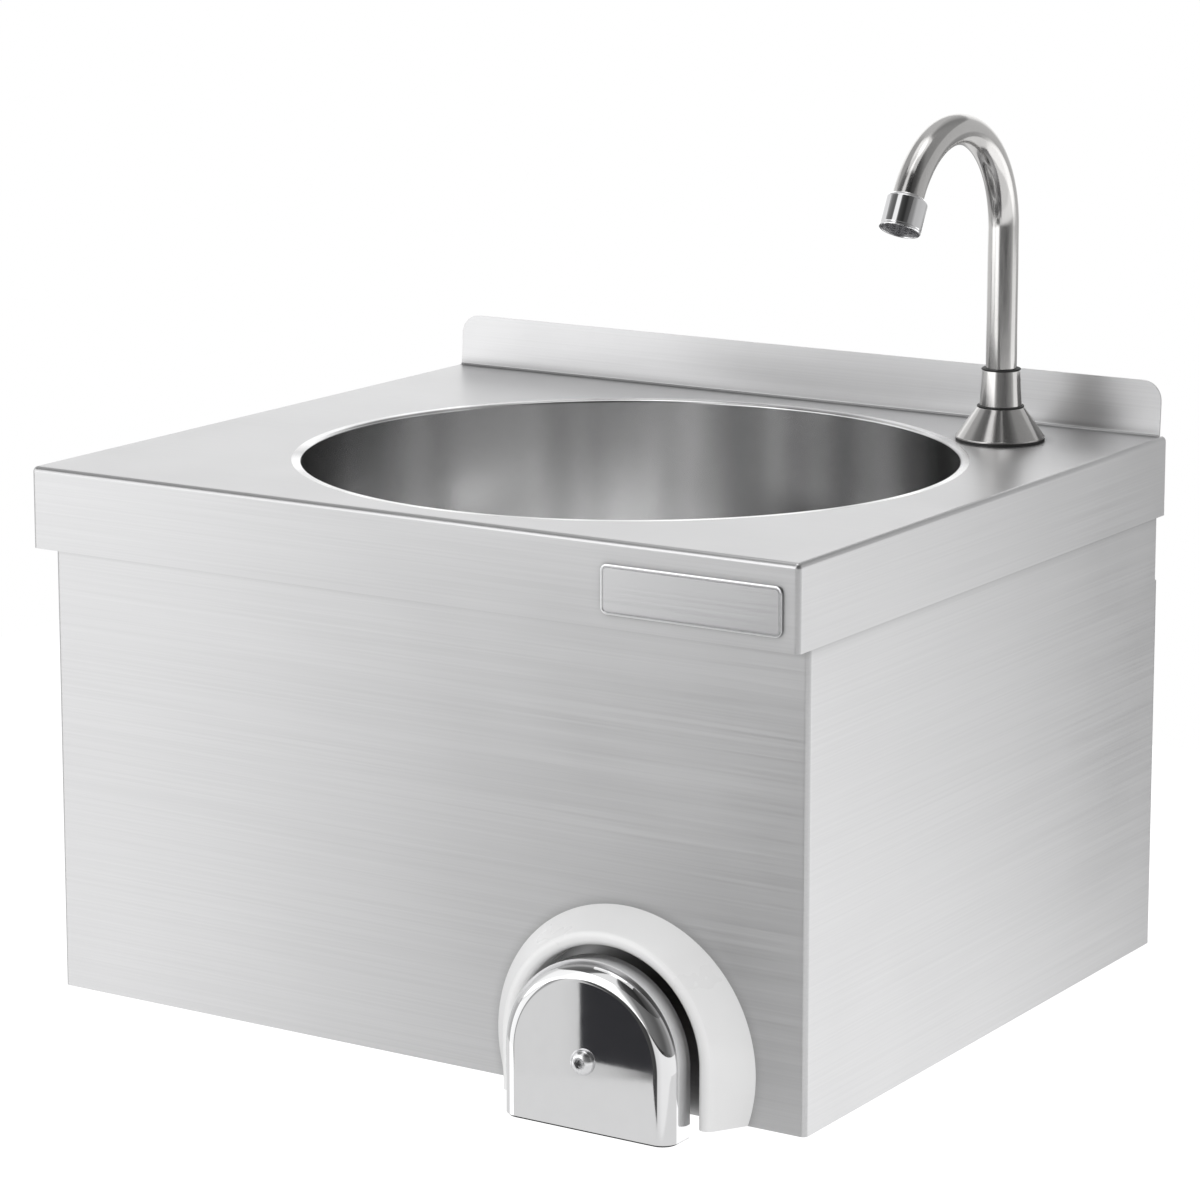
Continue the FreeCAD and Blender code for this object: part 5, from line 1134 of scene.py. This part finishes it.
@dataclass
class Studio:
    """Floor, world, lights and camera."""

    floor_z: float = -0.85
    floor_half: float = 2.6
    floor_grey: float = 0.70
    floor_roughness: float = 0.9
    floor_glow: float = 0.45
    floor_glow_in_metal: float = 0.3
    world_level: float = 0.96
    card_radius: float = 2.2
    card_count: int = 144
    bands: tuple[CardBand, ...] = (
        CardBand("panel_cards", -0.85, -0.24, PANEL_LEVELS),
        CardBand("spout_cards", -0.24, -0.14, SPOUT_LEVELS),
        CardBand("splash_cards", -0.14, 1.30, SPLASH_LEVELS),
        CardBand("high_cards", 1.30, 12.0, tuple((turn, HIGH_SHARE * level) for turn, level in SPOUT_LEVELS)),
    )
    flag_colour: tuple[float, float, float, float] = (0.05, 0.05, 0.055, 1.0)
    flag_corner: tuple[float, float, float] = (-0.052, -0.744, -0.328)
    flag_width: float = 0.072
    flag_height: float = 0.053
    lens: float = 129.89
    sensor: float = 36.0
    camera_place: tuple[float, float, float] = (1.31096, -2.28417, 0.50920)
    camera_pitch: float = 0.1825
    camera_turn: float = 0.56687
    camera_shift: float = -0.12
    lights: tuple[SoftLight, ...] = (
        SoftLight("left_panel", (-0.95, -1.05, -0.3), (-0.2, -0.3, -0.1), 0.7, 0.8, 1.35),
        SoftLight("right_panel", (0.72, 0.22, -0.28), (0.25, -0.35, -0.1), 0.5, 0.75, 0.55),
        SoftLight("top_panel", (0.0, -0.3, 1.9), (0.0, -0.2, 0.0), 1.6, 1.2, 4.5),
    )

    def add_board(self, name: str, corners: Sequence[Sequence[float]],
                  shader: Shader) -> bpy.types.Object:
        """Puts a flat board with four corners in the scene.

        Args:
            name: Name of the board.
            corners: Its corners in turn.
            shader: Its material.

        Returns:
            The board.
        """
        mesh = bpy.data.meshes.new(name)
        mesh.from_pydata(corners, [], [(0, 1, 2, 3)])
        mesh.materials.append(shader.material)
        return add_object(name, mesh)

    def build_floor(self) -> None:
        """A pale floor below the sink that is white to the camera and keeps the shadow."""
        shader = Shader("pale_floor")
        surface = shader.surface.inputs
        surface["Base Color"].default_value = (self.floor_grey, self.floor_grey, self.floor_grey, 1.0)
        surface["Roughness"].default_value = self.floor_roughness
        surface["Specular IOR Level"].default_value = 0.0
        path = shader.node("ShaderNodeLightPath")
        seen = shader.math("MAXIMUM", path.outputs["Is Camera Ray"], path.outputs["Is Transmission Ray"])
        in_metal = shader.math("MULTIPLY", path.outputs["Is Glossy Ray"], self.floor_glow_in_metal)
        seen = shader.math("MAXIMUM", seen, in_metal)
        surface["Emission Color"].default_value = (1.0, 1.0, 1.0, 1.0)
        shader.join(shader.math("MULTIPLY", seen, self.floor_glow), surface["Emission Strength"])
        half = self.floor_half
        signs = ((-1, -1), (1, -1), (1, 1), (-1, 1))
        floor = self.add_board("pale_floor", [(x * half, y * half, self.floor_z) for x, y in signs], shader)

    def build_world(self) -> None:
        """White to the camera, in metal and in glass, and pale as light."""
        world = bpy.data.worlds.new("studio")
        world.use_nodes = True
        bpy.context.scene.world = world
        tree = world.node_tree
        background = tree.nodes["Background"]
        path = tree.nodes.new("ShaderNodeLightPath")
        seen = path.outputs["Is Camera Ray"]
        for kind in ("Is Glossy Ray", "Is Transmission Ray"):
            either = tree.nodes.new("ShaderNodeMath")
            either.operation = "MAXIMUM"
            tree.links.new(seen, either.inputs[0])
            tree.links.new(path.outputs[kind], either.inputs[1])
            seen = either.outputs[0]
        level = tree.nodes.new("ShaderNodeMapRange")
        level.inputs["To Min"].default_value = self.world_level
        level.inputs["To Max"].default_value = 1.0
        tree.links.new(seen, level.inputs["Value"])
        tree.links.new(level.outputs["Result"], background.inputs["Strength"])
        background.inputs["Color"].default_value = (1.0, 1.0, 1.0, 1.0)

    def build_cards(self, band: CardBand) -> None:
        """Ring of cards, which the sink's metal mirrors and neither the camera nor matt pieces see.

        Args:
            band: Heights and levels of the cards.
        """
        angle = np.linspace(-math.pi, math.pi, self.card_count, endpoint=False)
        ring = self.card_radius * np.stack([np.cos(angle), np.sin(angle)], axis=-1)
        grid = np.stack([np.insert(ring, 2, height, axis=1) for height in (band.low, band.high)])
        shell = Shell.empty()
        shell.add_grid(grid, close_v=True)
        shader = Shader(band.name)
        parts = shader.node("ShaderNodeSeparateXYZ")
        shader.join(shader.node("ShaderNodeTexCoord").outputs["Object"], parts.inputs[0])
        turn = shader.math("DIVIDE", shader.math("ARCTAN2", parts.outputs[1], parts.outputs[0]), 2 * math.pi)
        ramp = shader.node("ShaderNodeValToRGB")
        ramp.color_ramp.interpolation = "EASE"
        elements = ramp.color_ramp.elements
        for degrees, level in band.levels:
            place = (degrees + 180) / 360
            ends = {0.0: elements[0], 1.0: elements[len(elements) - 1]}
            element = ends[place] if place in ends else elements.new(place)
            element.color = (level, level, level, 1.0)
        shader.join(shader.math("ADD", turn, 0.5), ramp.inputs[0])
        shader.surface.inputs["Base Color"].default_value = (0.0, 0.0, 0.0, 1.0)
        shader.surface.inputs["Specular IOR Level"].default_value = 0.0
        shader.join(ramp.outputs[0], shader.surface.inputs["Emission Color"])
        shader.surface.inputs["Emission Strength"].default_value = 1.0
        mesh = shell.mesh(band.name)
        mesh.materials.append(shader.material)
        cards = add_object(band.name, mesh)
        cards.visible_camera = False
        cards.visible_diffuse = False

    def build_black_flag(self) -> None:
        """Small black flag beside the knee pad, which shows as the dark patch on its polished face."""
        left, depth, bottom = self.flag_corner
        right, top = left + self.flag_width, bottom + self.flag_height
        shader = Shader("black_flag")
        shader.surface.inputs["Base Color"].default_value = self.flag_colour
        shader.surface.inputs["Specular IOR Level"].default_value = 0.0
        corners = [(left, depth, bottom), (right, depth, bottom), (right, depth, top), (left, depth, top)]
        flag = self.add_board("black_flag", corners, shader)
        flag.visible_camera = False
        flag.visible_diffuse = False
        flag.visible_shadow = False

    def build_lights(self) -> None:
        """Soft panels, which light the sink and show in its steel but not to the camera."""
        for light in self.lights:
            data = bpy.data.lights.new(light.name, "AREA")
            data.shape = "RECTANGLE"
            data.size = light.width
            data.size_y = light.height
            data.energy = light.watts
            lamp = add_object(light.name, data)
            way = np.asarray(light.target) - np.asarray(light.place)
            lamp.location = light.place
            lamp.rotation_euler = Vector(way).to_track_quat("-Z", "Y").to_euler()
            lamp.visible_camera = False

    def build_camera(self) -> None:
        """Camera at the photograph's angle."""
        data = bpy.data.cameras.new("camera")
        data.lens = self.lens
        data.sensor_width = self.sensor
        data.shift_y = self.camera_shift
        camera = add_object("camera", data)
        camera.location = self.camera_place
        camera.rotation_euler = (math.pi / 2 - self.camera_pitch, 0.0, self.camera_turn)
        bpy.context.scene.camera = camera
        bpy.context.scene.view_settings.view_transform = "Standard"

    def build(self) -> None:
        """Sets up the whole studio."""
        self.build_floor()
        self.build_world()
        for band in self.bands:
            self.build_cards(band)
        self.build_black_flag()
        self.build_lights()
        self.build_camera()


def main() -> None:
    """Dresses every sub-assembly and sets up the studio."""
    logging.basicConfig(level=logging.INFO, format="%(message)s")
    wardrobe = Wardrobe.filled()
    for assembly in (SheetMetal(), Basin(), Spout(), KneeControl(), Plumbing()):
        assembly.dress(wardrobe)
    Studio().build()


if __name__ == "__main__":
    main()
